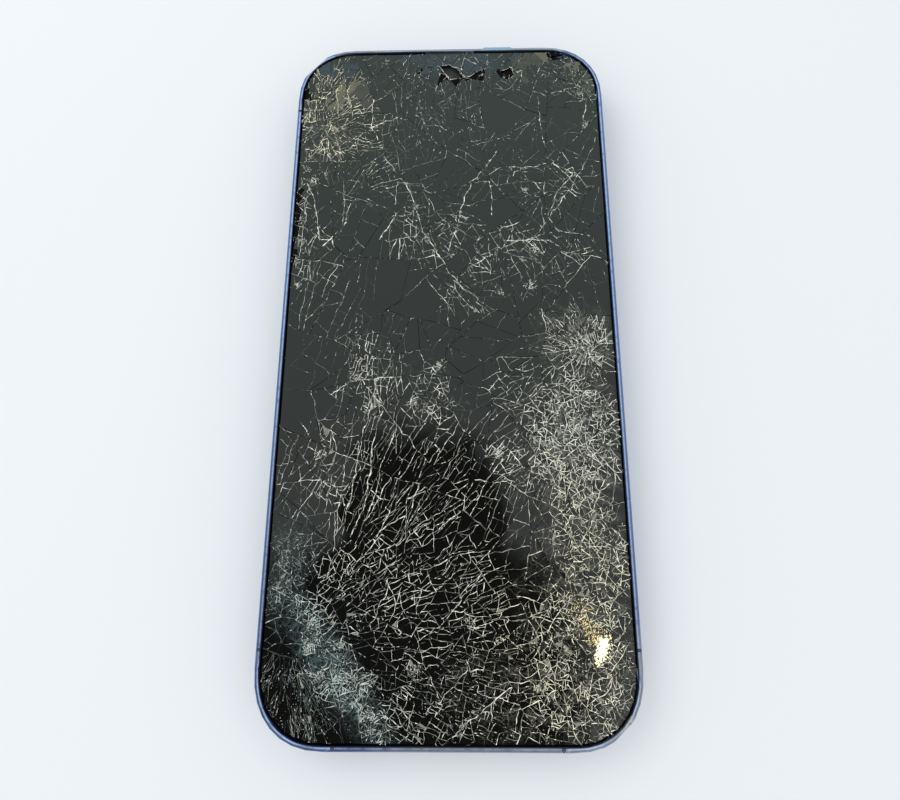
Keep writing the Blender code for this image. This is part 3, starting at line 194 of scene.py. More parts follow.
class Finish(Shading):
    """A Principled material."""

    def __init__(self, name: str) -> None:
        """Makes the material with its Principled shader and object coordinates."""
        self.material = bpy.data.materials.new(name)
        super().__init__(self.material)
        self.shader = self.tree.nodes["Principled BSDF"]
        self.place = self.node("ShaderNodeTexCoord").outputs["Object"]
        self.mm = tuple(part * (1 / MM) for part in self.split(self.place))

    def set(self, **sockets: Any) -> "Finish":
        """Sets or links the shader's sockets, with spaces in their names as underscores."""
        for name, value in sockets.items():
            self.feed(self.shader.inputs[name.replace("_", " ")], value)
        return self

    def scaled(self, size_mm: float, turn: float, stretch: Color = (1.0, 1.0, 1.0)
               ) -> bpy.types.NodeSocket:
        """The coordinates in units of size_mm, stretched along the axes after a turn."""
        return self.node("ShaderNodeMapping", None, {
            "Vector": self.place, "Rotation": (0.0, 0.0, math.radians(turn)),
            "Scale": tuple(1 / (size_mm * MM * part) for part in stretch)}).outputs[0]

    def noise(self, size_mm: float, detail: float = 2.0, stretch: Color = (1.0, 1.0, 1.0),
              turn: float = 0.0, rough: float = 0.5) -> Value:
        """Noise whose grains are about size_mm wide."""
        made = self.node("ShaderNodeTexNoise", None, {
            "Vector": self.scaled(size_mm, turn, stretch), "Scale": 1.0, "Detail": detail,
            "Roughness": rough})
        return Value(self, made.outputs["Fac"])

    def cells(self, size_mm: float, width_mm: float, turn: float = 0.0) -> Value:
        """Lines between random cells: 1 on a line and 0 inside a cell."""
        made = self.node("ShaderNodeTexVoronoi", {"feature": "DISTANCE_TO_EDGE"}, {
            "Vector": self.scaled(size_mm, turn), "Scale": 1.0})
        share = width_mm / size_mm
        return Value(self, made.outputs["Distance"]).over(share, share * 0.3)

    def patch(self, x: float, y: float, reach_x: float, reach_y: float, turn: float = 0.0,
              soft: float = 0.4) -> Value:
        """A mask that is 1 inside an ellipse, in millimetres, and fades to 0 past its edge."""
        px, py, _ = self.mm
        cos, sin = math.cos(math.radians(turn)), math.sin(math.radians(turn))
        along = ((px - x) * cos + (py - y) * sin) * (1 / reach_x)
        across = ((py - y) * cos - (px - x) * sin) * (1 / reach_y)
        depth = (along * along + across * across) ** 0.5
        return depth.over(1.0 + soft / 2, 1.0 - soft / 2)

    def patches(self, *spots: tuple[float, ...]) -> Value:
        """The strongest of several patches, each given as its strength and its ellipse."""
        mask: Optional[Value] = None
        for strength, *ellipse in spots:
            patch = self.patch(*ellipse)
            if strength != 1:
                patch = patch * strength
            mask = patch if mask is None else mask.above(patch)
        return mask

    def bump(self, height: Value, depth_mm: float) -> None:
        """Raises the surface by a height pattern."""
        made = self.node("ShaderNodeBump", None, {
            "Strength": 1.0, "Distance": depth_mm * MM, "Height": height})
        self.set(Normal=made.outputs[0])


def drift(x: float, y: float, size: float, reach: float, layer: float) -> Point:
    """The shift of a point by noise with grains of a size, a reach and a layer of its own."""
    spot = Vector((x / size, y / size, layer))
    return noise.noise(spot) * reach, noise.noise(spot + Vector((0.0, 0.0, 9.0))) * reach


class Lean(Enum):
    """How a zone's cracks choose their direction."""

    FREE = "across the longest way"
    ANGLE = "along one angle"
    FAN = "out from a point"


IMPACT = (-30.0, -57.0)


@dataclass(frozen=True)
class CrushZone:
    """An ellipse of the glass with its own crack pattern, in millimetres and degrees."""

    x: float
    y: float
    reach_x: float
    reach_y: float
    turn: float
    cell: float
    stretch: float
    bright: float
    lean: Lean = Lean.FREE
    angle: float = 0.0
    hub: Point = (0.0, 0.0)

    def depth(self, x: float, y: float) -> float:
        """How far out of the zone's middle a point in millimetres lies, with 1 at its edge."""
        turn = math.radians(self.turn)
        along = (x - self.x) * math.cos(turn) + (y - self.y) * math.sin(turn)
        across = (y - self.y) * math.cos(turn) - (x - self.x) * math.sin(turn)
        return math.hypot(along / self.reach_x, across / self.reach_y)

    def way(self, x: float, y: float) -> Optional[float]:
        """The cracks' direction at a point in radians, or None where it is free."""
        if self.lean is Lean.FREE:
            return None
        if self.lean is Lean.ANGLE:
            return math.radians(self.angle)
        return math.atan2(y - self.hub[1], x - self.hub[0])


@dataclass(frozen=True)
class CrushMap:
    """Every zone of the glass and the rule between them."""

    open_cell: float = 4.4
    open_bright: float = 0.27
    open_stretch: float = 1.5
    open_turn: float = 62.0
    clear_cell: float = 30.0
    clear_bright: float = 0.2
    fade_start: float = 0.7
    fade_run: float = 0.55
    ragged_size: float = 3.2
    ragged_reach: float = 4.5
    zones: tuple[CrushZone, ...] = (
        CrushZone(-27, 57, 9.5, 15, 0, 1.5, 2.4, 0.72, Lean.FAN, hub=(-31, 52)),
        CrushZone(0, 68.5, 32, 5.5, 0, 2.1, 1.5, 0.45, Lean.FAN, hub=(2, 80)),
        CrushZone(29, 66, 6, 8, 0, 1.5, 1.3, 0.5),
        CrushZone(-9, 52, 6, 11, 0, 1.7, 1.6, 0.3, Lean.FAN, hub=(-8, 40)),
        CrushZone(3, 56, 6, 9, 0, 1.7, 1.6, 0.36, Lean.FAN, hub=(6, 46)),
        CrushZone(-17, 40, 9, 6, 0, 2.0, 2.0, 0.5, Lean.FAN, hub=(-24, 36)),
        CrushZone(-29, 20, 6, 14, 0, 3.0, 1.9, 0.42, Lean.ANGLE, 55),
        CrushZone(-34.2, 27, 2.2, 12, 0, 1.3, 1.7, 0.62, Lean.ANGLE, 75),
        CrushZone(-5, 26, 6, 8, 0, 1.8, 1.6, 0.58, Lean.FAN, hub=(-7.5, 33)),
        CrushZone(22, 38, 8, 8, 0, 2.6, 1.8, 0.5, Lean.FAN, hub=(23, 38)),
        CrushZone(17, 20, 15, 8, 0, 2.1, 1.5, 0.5, Lean.ANGLE, -60),
        CrushZone(3, 12, 6, 6, 0, 2.0, 1.6, 0.5, Lean.FAN, hub=(0, 14)),
        CrushZone(-16, -5, 5.5, 9, 12, 1.5, 1.8, 0.72, Lean.ANGLE, 80),
        CrushZone(-22, -23, 5.5, 10, -10, 1.6, 1.6, 0.66, Lean.ANGLE, 70),
        CrushZone(-30.5, -27, 4.5, 9, 0, 1.8, 1.7, 0.5, Lean.ANGLE, 62),
        CrushZone(-3.5, -10, 6, 7, 0, 1.7, 1.5, 0.62),
        CrushZone(-8, -28, 15, 16, -20, 2.1, 2.9, 0.56, Lean.FAN, hub=IMPACT),
        CrushZone(9, -27, 9, 14, 0, 2.2, 1.9, 0.62, Lean.ANGLE, 58),
        CrushZone(14, -10, 8, 8, 0, 1.9, 1.7, 0.6, Lean.ANGLE, 30),
        CrushZone(27.5, 1, 7.5, 8, 0, 1.1, 2.3, 0.78, Lean.FAN, hub=(29, -1)),
        CrushZone(25.5, -19, 10.5, 15, 0, 1.25, 1.4, 0.94),
        CrushZone(15, -22, 7, 12, 0, 1.5, 1.7, 0.74, Lean.ANGLE, 50),
        CrushZone(27, -40, 9, 12, 0, 1.35, 1.4, 0.84),
        CrushZone(14, -64, 20, 10, 0, 1.4, 1.5, 0.58, Lean.FAN, hub=IMPACT),
        CrushZone(-15, -47, 15, 10, 35, 1.5, 1.5, 0.7, Lean.FAN, hub=IMPACT),
        CrushZone(3, -54, 12, 16, 0, 1.7, 1.8, 0.64, Lean.FAN, hub=IMPACT),
        CrushZone(25, -60, 12, 15, 0, 1.2, 1.3, 0.72),
        CrushZone(-6, -67, 13, 8, 0, 1.4, 1.5, 0.58, Lean.FAN, hub=IMPACT),
        CrushZone(-20.5, -60.5, 4.2, 17, 38, 0.72, 1.2, 0.74),
        CrushZone(-31, -44, 4, 10, 0, 0.85, 1.3, 0.52),
        CrushZone(-28, -66, 8, 10, 0, 0.95, 5.0, 0.26, Lean.FAN, hub=IMPACT),
    )
    clear: tuple[tuple[float, float, float, float], ...] = (
        (-15.5, 60.0, 3.0, 5.0), (13.5, 57.0, 5.6, 4.6), (27.0, 56.0, 4.6, 5.4),
        (-16.0, 51.0, 2.6, 3.4), (-27.5, 31.5, 2.4, 4.6), (11.5, 31.0, 5.0, 4.6),
        (29.0, 31.0, 5.6, 3.4), (31.5, 9.2, 3.2, 2.6), (-11.0, 11.0, 8.0, 6.6),
        (5.2, -6.0, 5.2, 3.4), (11.5, -16.0, 3.2, 2.8), (-31.2, -57.4, 2.6, 2.4),
        (-31.0, -9.0, 3.4, 9.0), (-24.5, -10.0, 2.0, 3.6), (-2.5, -1.0, 2.6, 2.2),
    )

    def rule(self, x: float, y: float) -> tuple[float, float, Optional[float], float]:
        """The shard width, stretch, direction and share of bright cracks at a point."""
        for mid_x, mid_y, reach_x, reach_y in self.clear:
            if math.hypot((x - mid_x) / reach_x, (y - mid_y) / reach_y) < 1.0:
                return self.clear_cell, 1.0, None, self.clear_bright
        cell, stretch, bright = self.open_cell, self.open_stretch, self.open_bright
        way: Optional[float] = math.radians(self.open_turn)
        shift_x, shift_y = drift(x, y, self.ragged_size, self.ragged_reach, 1.3)
        x, y = x + shift_x, y + shift_y
        for zone in self.zones:
            fade = min(max((zone.depth(x, y) - self.fade_start) / self.fade_run, 0.0), 1.0)
            width = zone.cell + (self.open_cell - zone.cell) * fade
            if width < cell:
                cell, stretch, way = width, zone.stretch, zone.way(x, y)
                bright = zone.bright + (self.open_bright - zone.bright) * fade
        return cell, stretch, way, bright


@dataclass
class Shard:
    """One shard's top: its outline in millimetres and the plane that it lies in."""

    outline: list[Point]
    middle: Vector
    normal: Vector

    def height(self, x: float, y: float) -> float:
        """The shard's height at a point, in millimetres."""
        lean = self.normal.x * (x - self.middle.x) + self.normal.y * (y - self.middle.y)
        return self.middle.z - lean / self.normal.z


@dataclass
class BrokenSheet:
    """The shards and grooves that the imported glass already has."""

    shards: list[Shard] = field(default_factory=list)
    grooves: list[tuple[Vector, Vector]] = field(default_factory=list)
    chip_edges: list[tuple[Vector, Vector]] = field(default_factory=list)
    groove_level: float = 0.0
    top: float = 0.0
    LEVEL_REACH: ClassVar[float] = 0.002
    STEEP: ClassVar[float] = 0.05
    FLAT: ClassVar[float] = 0.9

    @classmethod
    def read(cls, node: bpy.types.Object) -> "BrokenSheet":
        """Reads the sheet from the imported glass, in millimetres."""
        sheet = cls()
        bm = bmesh.new()
        bm.from_mesh(node.data)
        bmesh.ops.remove_doubles(bm, verts=bm.verts, dist=MERGE_REACH)
        bmesh.ops.scale(bm, verts=bm.verts, vec=(1 / MM,) * 3)
        heights = [v.co.z for v in bm.verts]
        middle = (min(heights) + max(heights)) / 2
        levels = Counter(round(z, 3) for z in heights if z > middle)
        sheet.groove_level = levels.most_common(1)[0][0]
        sheet.top = max(heights)
        low = {v for v in bm.verts if abs(v.co.z - sheet.groove_level) < cls.LEVEL_REACH}
        walls = []
        for edge in bm.edges:
            if edge.verts[0] in low and edge.verts[1] in low:
                if any(abs(face.normal.z) < cls.STEEP for face in edge.link_faces):
                    walls.append(edge)
                else:
                    sheet.grooves.append((edge.verts[0].co.copy(), edge.verts[1].co.copy()))
        sheet.chip_edges = cls._inner_walls(walls)
        sheet._read_shards(bm, low)
        bm.free()
        return sheet

    @staticmethod
    def _groups(items: Iterable, near: Callable[[Any], Iterable]) -> list[list]:
        """Gathers elements into connected groups, in the order in which they are given.

        Args:
            items: The elements.
            near: Gives an element's neighbours.

        Returns:
            The groups.
        """
        left, groups = dict.fromkeys(items), []
        while left:
            group = [next(iter(left))]
            del left[group[0]]
            for item in group:
                for other in near(item):
                    if other in left:
                        del left[other]
                        group.append(other)
            groups.append(group)
        return groups

    @classmethod
    def _inner_walls(cls, walls: list[bmesh.types.BMEdge]) -> list[tuple[Vector, Vector]]:
        """The edges of the chips' openings: every wall loop apart from the longest."""
        loops = cls._groups(walls, lambda edge: [e for v in edge.verts for e in v.link_edges])
        loops.sort(key=len)
        return [(e.verts[0].co.copy(), e.verts[1].co.copy()) for loop in loops[:-1] for e in loop]

    def _read_shards(self, bm: bmesh.types.BMesh, low: set) -> None:
        """Collects each shard's top from its triangles."""
        tops = [f for f in bm.faces
                if f.normal.z > self.FLAT and not any(v in low for v in f.verts)
                and f.calc_center_median().z > self.groove_level]
        for group in self._groups(tops, lambda face: [f for e in face.edges
                                                      for f in e.link_faces]):
            rim = [e for f in group for e in f.edges
                   if sum(1 for link in e.link_faces if link in group) == 1]
            loop = self._ordered(rim)
            if len(loop) < 3:
                continue
            largest = max(group, key=lambda f: f.calc_area())
            self.shards.append(Shard([(v.co.x, v.co.y) for v in loop],
                                     largest.calc_center_median(), largest.normal.copy()))

    @staticmethod
    def _ordered(rim: list[bmesh.types.BMEdge]) -> list[bmesh.types.BMVert]:
        """The corners of a closed run of edges, in order."""
        links: dict = {}
        for edge in rim:
            for vert in edge.verts:
                links.setdefault(vert, []).append(edge.other_vert(vert))
        start = next(iter(links))
        loop, before, here = [start], None, start
        while True:
            ahead = [v for v in links[here] if v is not before]
            before, here = here, ahead[0] if ahead else start
            if here is start or len(loop) > len(links):
                return loop
            loop.append(here)


class Glow(Enum):
    """How strongly a crack catches the light."""

    BRIGHT = "bright"
    MID = "mid"
    FAINT = "faint"


class Family(Enum):
    """The pieces that the cracks are built in."""

    NETWORK = "cracks"
    RUN = "long_cracks"
    SPLINTER = "splinters"


@dataclass
class CrackLine:
    """One crack as points in millimetres, each with half its width."""

    points: list[Vector]
    widths: list[float]
    glow: Glow
    family: Family


@dataclass
class Leaf:
    """A finest piece of a shard: its outline in millimetres and the shard it belongs to."""

    outline: list[Point]
    shard: Shard


@dataclass
class CrackNetwork:
    """All the cracks of the sheet: those along the grooves and the finer ones inside shards."""

    sheet: BrokenSheet
    rules: CrushMap
    seed: int = 11
    split: Point = (0.8, 1.75)
    split_turn: float = 15.0
    split_off: float = 0.2
    finest_level: int = 12
    step_mm: float = 0.5
    shortest_mm: float = 0.1
    sink_mm: float = 0.012
    groove_depth: float = 0.03
    chip_depth: float = 0.04
    groove_bright: float = 0.1
    chip_bright: float = 1.4
    noise_size: float = 3.0
    noise_share: float = 0.62
    chance: float = 0.15
    scores: tuple[tuple[float, Glow], ...] = (
        (0.74, Glow.BRIGHT), (0.45, Glow.MID), (0.14, Glow.FAINT))
    swings: tuple[float, ...] = (0.3, 0.6, 0.8, 1.2, 2.1)
    knot_share: float = 0.5
    spark_share: float = 0.22
    stroke_step: float = 0.45
    stroke_turn: float = 0.28
    half_widths: dict[Glow, Point] = field(default_factory=lambda: {
        Glow.BRIGHT: (0.026, 0.06), Glow.MID: (0.02, 0.042), Glow.FAINT: (0.018, 0.032)})
    lines: list[CrackLine] = field(default_factory=list)
    leaves: list[Leaf] = field(default_factory=list)
    knots: list[Vector] = field(default_factory=list)

    def trace(self) -> None:
        """Finds every crack, first along the grooves and then inside the shards."""
        rng = random.Random(self.seed)
        for start, stop in self.sheet.grooves:
            mid = (start + stop) / 2
            bright = self.rules.rule(mid.x, mid.y)[3]
            self._lay_level(start, stop, self.groove_depth, bright + self.groove_bright, rng)
        for start, stop in self.sheet.chip_edges:
            self._lay_level(start, stop, self.chip_depth, self.chip_bright, rng)
        for shard in self.sheet.shards:
            self._split(shard, shard.outline, 0, rng)

    def _lay_level(self, start: Vector, stop: Vector, depth: float, bright: float,
                   rng: random.Random) -> None:
        """Lays a crack at one depth under the sheet's top."""
        self.lay(*(Vector((p.x, p.y, self.sheet.top - depth)) for p in (start, stop)), bright, rng)

    def _glow(self, place: Vector, bright: float, rng: random.Random) -> Optional[Glow]:
        """Chooses how a crack shows, in patches; None where it doesn't show at all."""
        cloud = noise.noise(Vector((place.x / self.noise_size, place.y / self.noise_size, 3.7)))
        score = bright + self.noise_share * cloud + rng.uniform(-self.chance, self.chance)
        return next((glow for least, glow in self.scores if score > least), None)

    @staticmethod
    def _warped(point: Vector) -> Vector:
        """A point moved a little by smooth noise, so that cracks wander but still meet."""
        moved = point.copy()
        for size, reach, layer in ((2.1, 0.42, 1.3), (0.7, 0.16, 5.9)):
            shift_x, shift_y = drift(point.x, point.y, size, reach, layer)
            moved.x += shift_x
            moved.y += shift_y
        return moved

    def lay(self, start: Vector, stop: Vector, bright: float, rng: random.Random,
            family: Family = Family.NETWORK, swell: float = 1.0) -> None:
        """Adds a crack between two points.

        Args:
            start: Its first end, in millimetres.
            stop: Its other end.
            bright: Its share of bright glass, 0 to 1.
            rng: The source of chance.
            family: The piece that it is built in.
            swell: A factor on its width.
        """
        length = (stop - start).length
        glow = self._glow((start + stop) / 2, bright, rng)
        if length < self.shortest_mm or glow is None:
            return
        count = max(2, math.ceil(length / self.step_mm))
        half = swell * rng.uniform(*self.half_widths[glow])
        points = [self._warped(start.lerp(stop, index / count)) for index in range(count + 1)]
        widths = [half * rng.choice(self.swings) for _ in points]
        self.lines.append(CrackLine(points, widths, glow, family))
        if glow is Glow.BRIGHT:
            if rng.random() < self.knot_share:
                self.knots.append(points[0])
            return
        for index in range(count):
            if rng.random() < bright * self.spark_share:
                ends = points[index:index + 2]
                shape = [half * rng.uniform(0.4, 1.0), half * rng.uniform(1.6, 3.2)]
                self.lines.append(CrackLine(ends, shape, Glow.BRIGHT, Family.SPLINTER))

    def stroke(self, start: Vector, way: float, length: float, glow: Glow, half: float,
               rng: random.Random) -> None:
        """Adds one short free splinter that tapers to its end.

        Args:
            start: Its thick end, in millimetres.
            way: Its direction in radians.
            length: Its length.
            glow: How strongly it shows.
            half: Half its width.
            rng: The source of chance.
        """
        points, here, turn = [start], start, way
        count = max(1, math.ceil(length / self.stroke_step))
        for _ in range(count):
            turn += rng.gauss(0.0, self.stroke_turn)
            here = here + Vector((math.cos(turn), math.sin(turn), 0.0)) * (length / count)
            points.append(here)
        widths = [half * (1.2 - index / count) for index in range(count + 1)]
        self.lines.append(CrackLine(points, widths, glow, Family.SPLINTER))

    def sprig(self, start: Vector, way: float, lengths: Point, glows: tuple[Glow, ...],
              halves: Point, rng: random.Random) -> None:
        """Adds a splinter whose length, glow and half width are left to chance."""
        self.stroke(start, way, rng.uniform(*lengths), rng.choice(glows), rng.uniform(*halves),
                    rng)

    def _split(self, shard: Shard, outline: list[Point], level: int, rng: random.Random) -> None:
        """Cracks a shard's outline again and again, until it is as fine as its place asks."""
        mid_x, mid_y = middle_of(outline)
        samples = [((mid_x + p[0]) / 2, (mid_y + p[1]) / 2) for p in outline] + [(mid_x, mid_y)]
        cell, stretch, way, bright = min((self.rules.rule(*s) for s in samples),
                                         key=lambda rule: rule[0])
        if way is None:
            turns = [math.pi * step / 6 for step in range(6)]
            way = max(turns, key=lambda turn: extent(outline, turn))
            length = extent(outline, way)
        else:
            length = extent(outline, way) / stretch
        width = extent(outline, way + math.pi / 2)
        limit = cell * rng.uniform(*self.split)
        halves, ends = [outline], []
        if math.sqrt(length * width * stretch) >= limit and level < self.finest_level:
            turn = way + math.pi / 2 if length > width else way
            turn += math.radians(rng.gauss(0, self.split_turn))
            shift = extent(outline, turn + math.pi / 2) * rng.uniform(-self.split_off,
                                                                      self.split_off)
            point = (mid_x - math.sin(turn) * shift, mid_y + math.cos(turn) * shift)
            halves, ends = cut_outline(outline, point, turn)
        if not ends:
            self.leaves.append(Leaf(outline, shard))
            return
        start, stop = (Vector((x, y, shard.height(x, y) + self.sink_mm)) for x, y in ends)
        self.lay(start, stop, bright, rng)
        for half_outline in halves:
            self._split(shard, half_outline, level + 1, rng)


def extent(points: Iterable[Point], angle: float) -> float:
    """The width of a set of points along a direction."""
    cos, sin = math.cos(angle), math.sin(angle)
    reaches = [x * cos + y * sin for x, y in points]
    return max(reaches) - min(reaches)


def cut_outline(outline: list[Point], point: Point, way: float) -> tuple[list, list[Point]]:
    """Cuts a convex outline along a line.

    Args:
        outline: The corners in order.
        point: A point on the line.
        way: The line's direction in radians.

    Returns:
        The two outlines, and the two points where the line crosses; fewer where it misses.
    """
    normal = (-math.sin(way), math.cos(way))
    sides = [(p[0] - point[0]) * normal[0] + (p[1] - point[1]) * normal[1] for p in outline]
    left, right, ends = [], [], []
    for index, here in enumerate(outline):
        ahead = outline[(index + 1) % len(outline)]
        side, next_side = sides[index], sides[(index + 1) % len(outline)]
        (left if side >= 0 else right).append(here)
        if (side >= 0) != (next_side >= 0):
            share = side / (side - next_side)
            cross = (here[0] + (ahead[0] - here[0]) * share,
                     here[1] + (ahead[1] - here[1]) * share)
            left.append(cross)
            right.append(cross)
            ends.append(cross)
    if len(ends) != 2 or len(left) < 3 or len(right) < 3:
        return [outline], []
    return [left, right], ends


def add_object(name: str, data: bpy.types.ID) -> bpy.types.Object:
    """Makes an object and links it to the scene."""
    made = bpy.data.objects.new(name, data)
    bpy.context.scene.collection.objects.link(made)
    return made


def mesh_of(bm: bmesh.types.BMesh, name: str) -> bpy.types.Mesh:
    """Turns a working mesh into a named one and frees it."""
    mesh = bpy.data.meshes.new(name)
    bm.to_mesh(mesh)
    bm.free()
    return mesh


class NodeGarden(NodeTree):
    """A Geometry Nodes tree with named inputs, and how it is applied."""

    def __init__(self, name: str, inputs: dict[str, str]) -> None:
        """Makes an empty tree.

        Args:
            name: The tree's name.
            inputs: The socket type of each input, by name.
        """
        super().__init__(bpy.data.node_groups.new(name, "GeometryNodeTree"))
        interface = self.tree.interface
        interface.new_socket("Geometry", in_out="INPUT", socket_type="NodeSocketGeometry")
        for label, kind in inputs.items():
            interface.new_socket(label, in_out="INPUT", socket_type=kind)
        interface.new_socket("Geometry", in_out="OUTPUT", socket_type="NodeSocketGeometry")
        self.entry = self.tree.nodes.new("NodeGroupInput")
        self.exit = self.tree.nodes.new("NodeGroupOutput")

    def attribute(self, name: str, kind: str) -> bpy.types.NodeSocket:
        """Reads a named attribute of the points."""
        return self.node("GeometryNodeInputNamedAttribute", {"data_type": kind},
                         {"Name": name}).outputs[0]

    def finish(self, geometry: bpy.types.NodeSocket) -> None:
        """Ends the tree in Realize Instances and Set Material."""
        real = self.node("GeometryNodeRealizeInstances", None, {0: geometry})
        dressed = self.node("GeometryNodeSetMaterial", None, {
            "Geometry": real.outputs[0], "Material": self.entry.outputs["Material"]})
        self.feed(self.exit.inputs[0], dressed.outputs[0])

    def grow(self, name: str, start: bpy.types.Mesh, values: dict[str, Any]
             ) -> bpy.types.Object:
        """Applies the tree to a mesh and returns the result as a plain object.

        Args:
            name: The new object's name.
            start: The points or edges that the tree starts from.
            values: The tree's inputs by name.

        Returns:
            An object at the origin that holds the finished mesh.
        """
        holder = add_object(name + "_seed", start)
        modifier = holder.modifiers.new("growth", "NODES")
        modifier.node_group = self.tree
        for item in self.tree.interface.items_tree:
            if item.in_out == "INPUT" and item.name in values:
                modifier[item.identifier] = values[item.name]
        depsgraph = bpy.context.evaluated_depsgraph_get()
        mesh = bpy.data.meshes.new_from_object(holder.evaluated_get(depsgraph))
        mesh.name = name
        bpy.data.objects.remove(holder, do_unlink=True)
        return add_object(name, mesh)


def crack_tree() -> NodeGarden:
    """A tree that turns edges into flat closed slivers, wide where half_width says."""
    garden = NodeGarden("crack_slivers", {
        "Flatness": "NodeSocketFloat", "Material": "NodeSocketMaterial"})
    curve = garden.node("GeometryNodeMeshToCurve", None, {0: garden.entry.outputs["Geometry"]})
    upright = garden.node("GeometryNodeSetCurveNormal", {"mode": "Z_UP"}, {0: curve.outputs[0]})
    named = garden.attribute("half_width", "FLOAT")
    circle = garden.node("GeometryNodeCurvePrimitiveCircle", None,
                         {"Resolution": 3, "Radius": 1.0})
    scale = garden.node("ShaderNodeCombineXYZ", None, {
        0: 1.0, 1: garden.entry.outputs["Flatness"], 2: 1.0})
    flat = garden.node("GeometryNodeTransform", None, {
        "Geometry": circle.outputs[0], "Scale": scale.outputs[0]})
    tube = garden.node("GeometryNodeCurveToMesh", None, {
        "Curve": upright.outputs[0], "Profile Curve": flat.outputs[0],
        "Scale": named, "Fill Caps": True})
    garden.finish(tube.outputs[0])
    return garden


def flake_tree() -> NodeGarden:
    """A tree that sets a small turned chip of glass on each point, as large as size says."""
    garden = NodeGarden("glass_flakes", {
        "Thickness": "NodeSocketFloat", "Seed": "NodeSocketInt",
        "Material": "NodeSocketMaterial"})
    cone = garden.node("GeometryNodeMeshCone", None, {
        "Vertices": 3, "Radius Top": 0.55, "Radius Bottom": 1.0,
        "Depth": garden.entry.outputs["Thickness"]})
    points = garden.node("GeometryNodeMeshToPoints", None,
                         {0: garden.entry.outputs["Geometry"]})
    turn = garden.node("FunctionNodeRandomValue", {"data_type": "FLOAT_VECTOR"}, {
        0: (-0.12, -0.12, 0.0), 1: (0.12, 0.12, FULL_TURN),
        "Seed": garden.entry.outputs["Seed"]})
    size = garden.attribute("size", "FLOAT_VECTOR")
    chips = garden.node("GeometryNodeInstanceOnPoints", None, {
        "Points": points.outputs[0], "Instance": cone.outputs[0],
        "Rotation": turn.outputs[0], "Scale": size})
    garden.finish(chips.outputs[0])
    return garden


def seed_mesh(name: str, points: list[Vector], edges: list[tuple[int, int]], label: str,
              kind: str, values: list[float]) -> bpy.types.Mesh:
    """Points and edges that a tree grows from.

    Args:
        name: The mesh's name.
        points: The points in millimetres.
        edges: Pairs of point numbers.
        label: The name of the attribute that the points carry.
        kind: Its type, FLOAT or FLOAT_VECTOR.
        values: Its values in metres, one after the other.

    Returns:
        The mesh.
    """
    mesh = bpy.data.meshes.new(name)
    mesh.from_pydata([tuple(p * MM) for p in points], edges, [])
    part = "value" if kind == "FLOAT" else "vector"
    mesh.attributes.new(label, kind, "POINT").data.foreach_set(part, values)
    return mesh


def crack_seed_mesh(name: str, lines: list[CrackLine]) -> bpy.types.Mesh:
    """The crack lines as edges, with half their width on each point."""
    points, edges, widths = [], [], []
    for line in lines:
        first = len(points)
        points.extend(line.points)
        widths.extend(w * MM for w in line.widths)
        edges.extend((first + i, first + i + 1) for i in range(len(line.points) - 1))
    return seed_mesh(name, points, edges, "half_width", "FLOAT", widths)


@dataclass(frozen=True)
class CrackFinish:
    """Broken glass edges in painted highlight and glow: pale, cream at the right and upper left,
    teal at the lower left.
    """

    cream: Color
    teal: Color
    cool: Color
    # Strength of the painted glow: the edges give off light though they are no lamp.
    painted_glow: float = 0.0
    roughness: float = 0.45

    def make(self, name: str) -> bpy.types.Material:
        """Builds the material."""
        finish = Finish(name)
        teal = finish.patches((1, -25, -58, 8, 20, 38, 0.9), (1, -31, -44, 6, 13, 0, 0.8))
        warm = finish.patches((1, 22, -52, 16, 24, 0, 0.9), (1, -27, 58, 13, 18, 0, 0.8))
        color = finish.blend(warm, self.cool, self.cream)
        color = finish.blend(teal * 0.9, color, self.teal)
        dim = finish.noise(1.3, 2.0).over(0.62, 0.34) * 0.4 + teal * 0.15
        color = finish.blend(dim, color, shaded(self.cool, 0.4))
        finish.set(Base_Color=color, Roughness=self.roughness, Emission_Color=color,
                   Emission_Strength=self.painted_glow)
        return finish.material


# Lit and shaded copies of one finish: a brighter glow gets more painted highlight and glow.
CRACK_FINISHES = {
    Glow.BRIGHT: CrackFinish(linear(240, 236, 208), linear(184, 201, 196),
                             linear(226, 228, 216), 0.5),
    Glow.MID: CrackFinish(linear(196, 192, 166), linear(136, 155, 151),
                          linear(180, 184, 172), 0.12),
    Glow.FAINT: CrackFinish(linear(134, 132, 114), linear(95, 112, 110),
                            linear(118, 125, 118)),
}
GRIT_FINISH = CrackFinish(linear(204, 200, 176), linear(142, 166, 166), linear(188, 190, 178),
                          0.2)


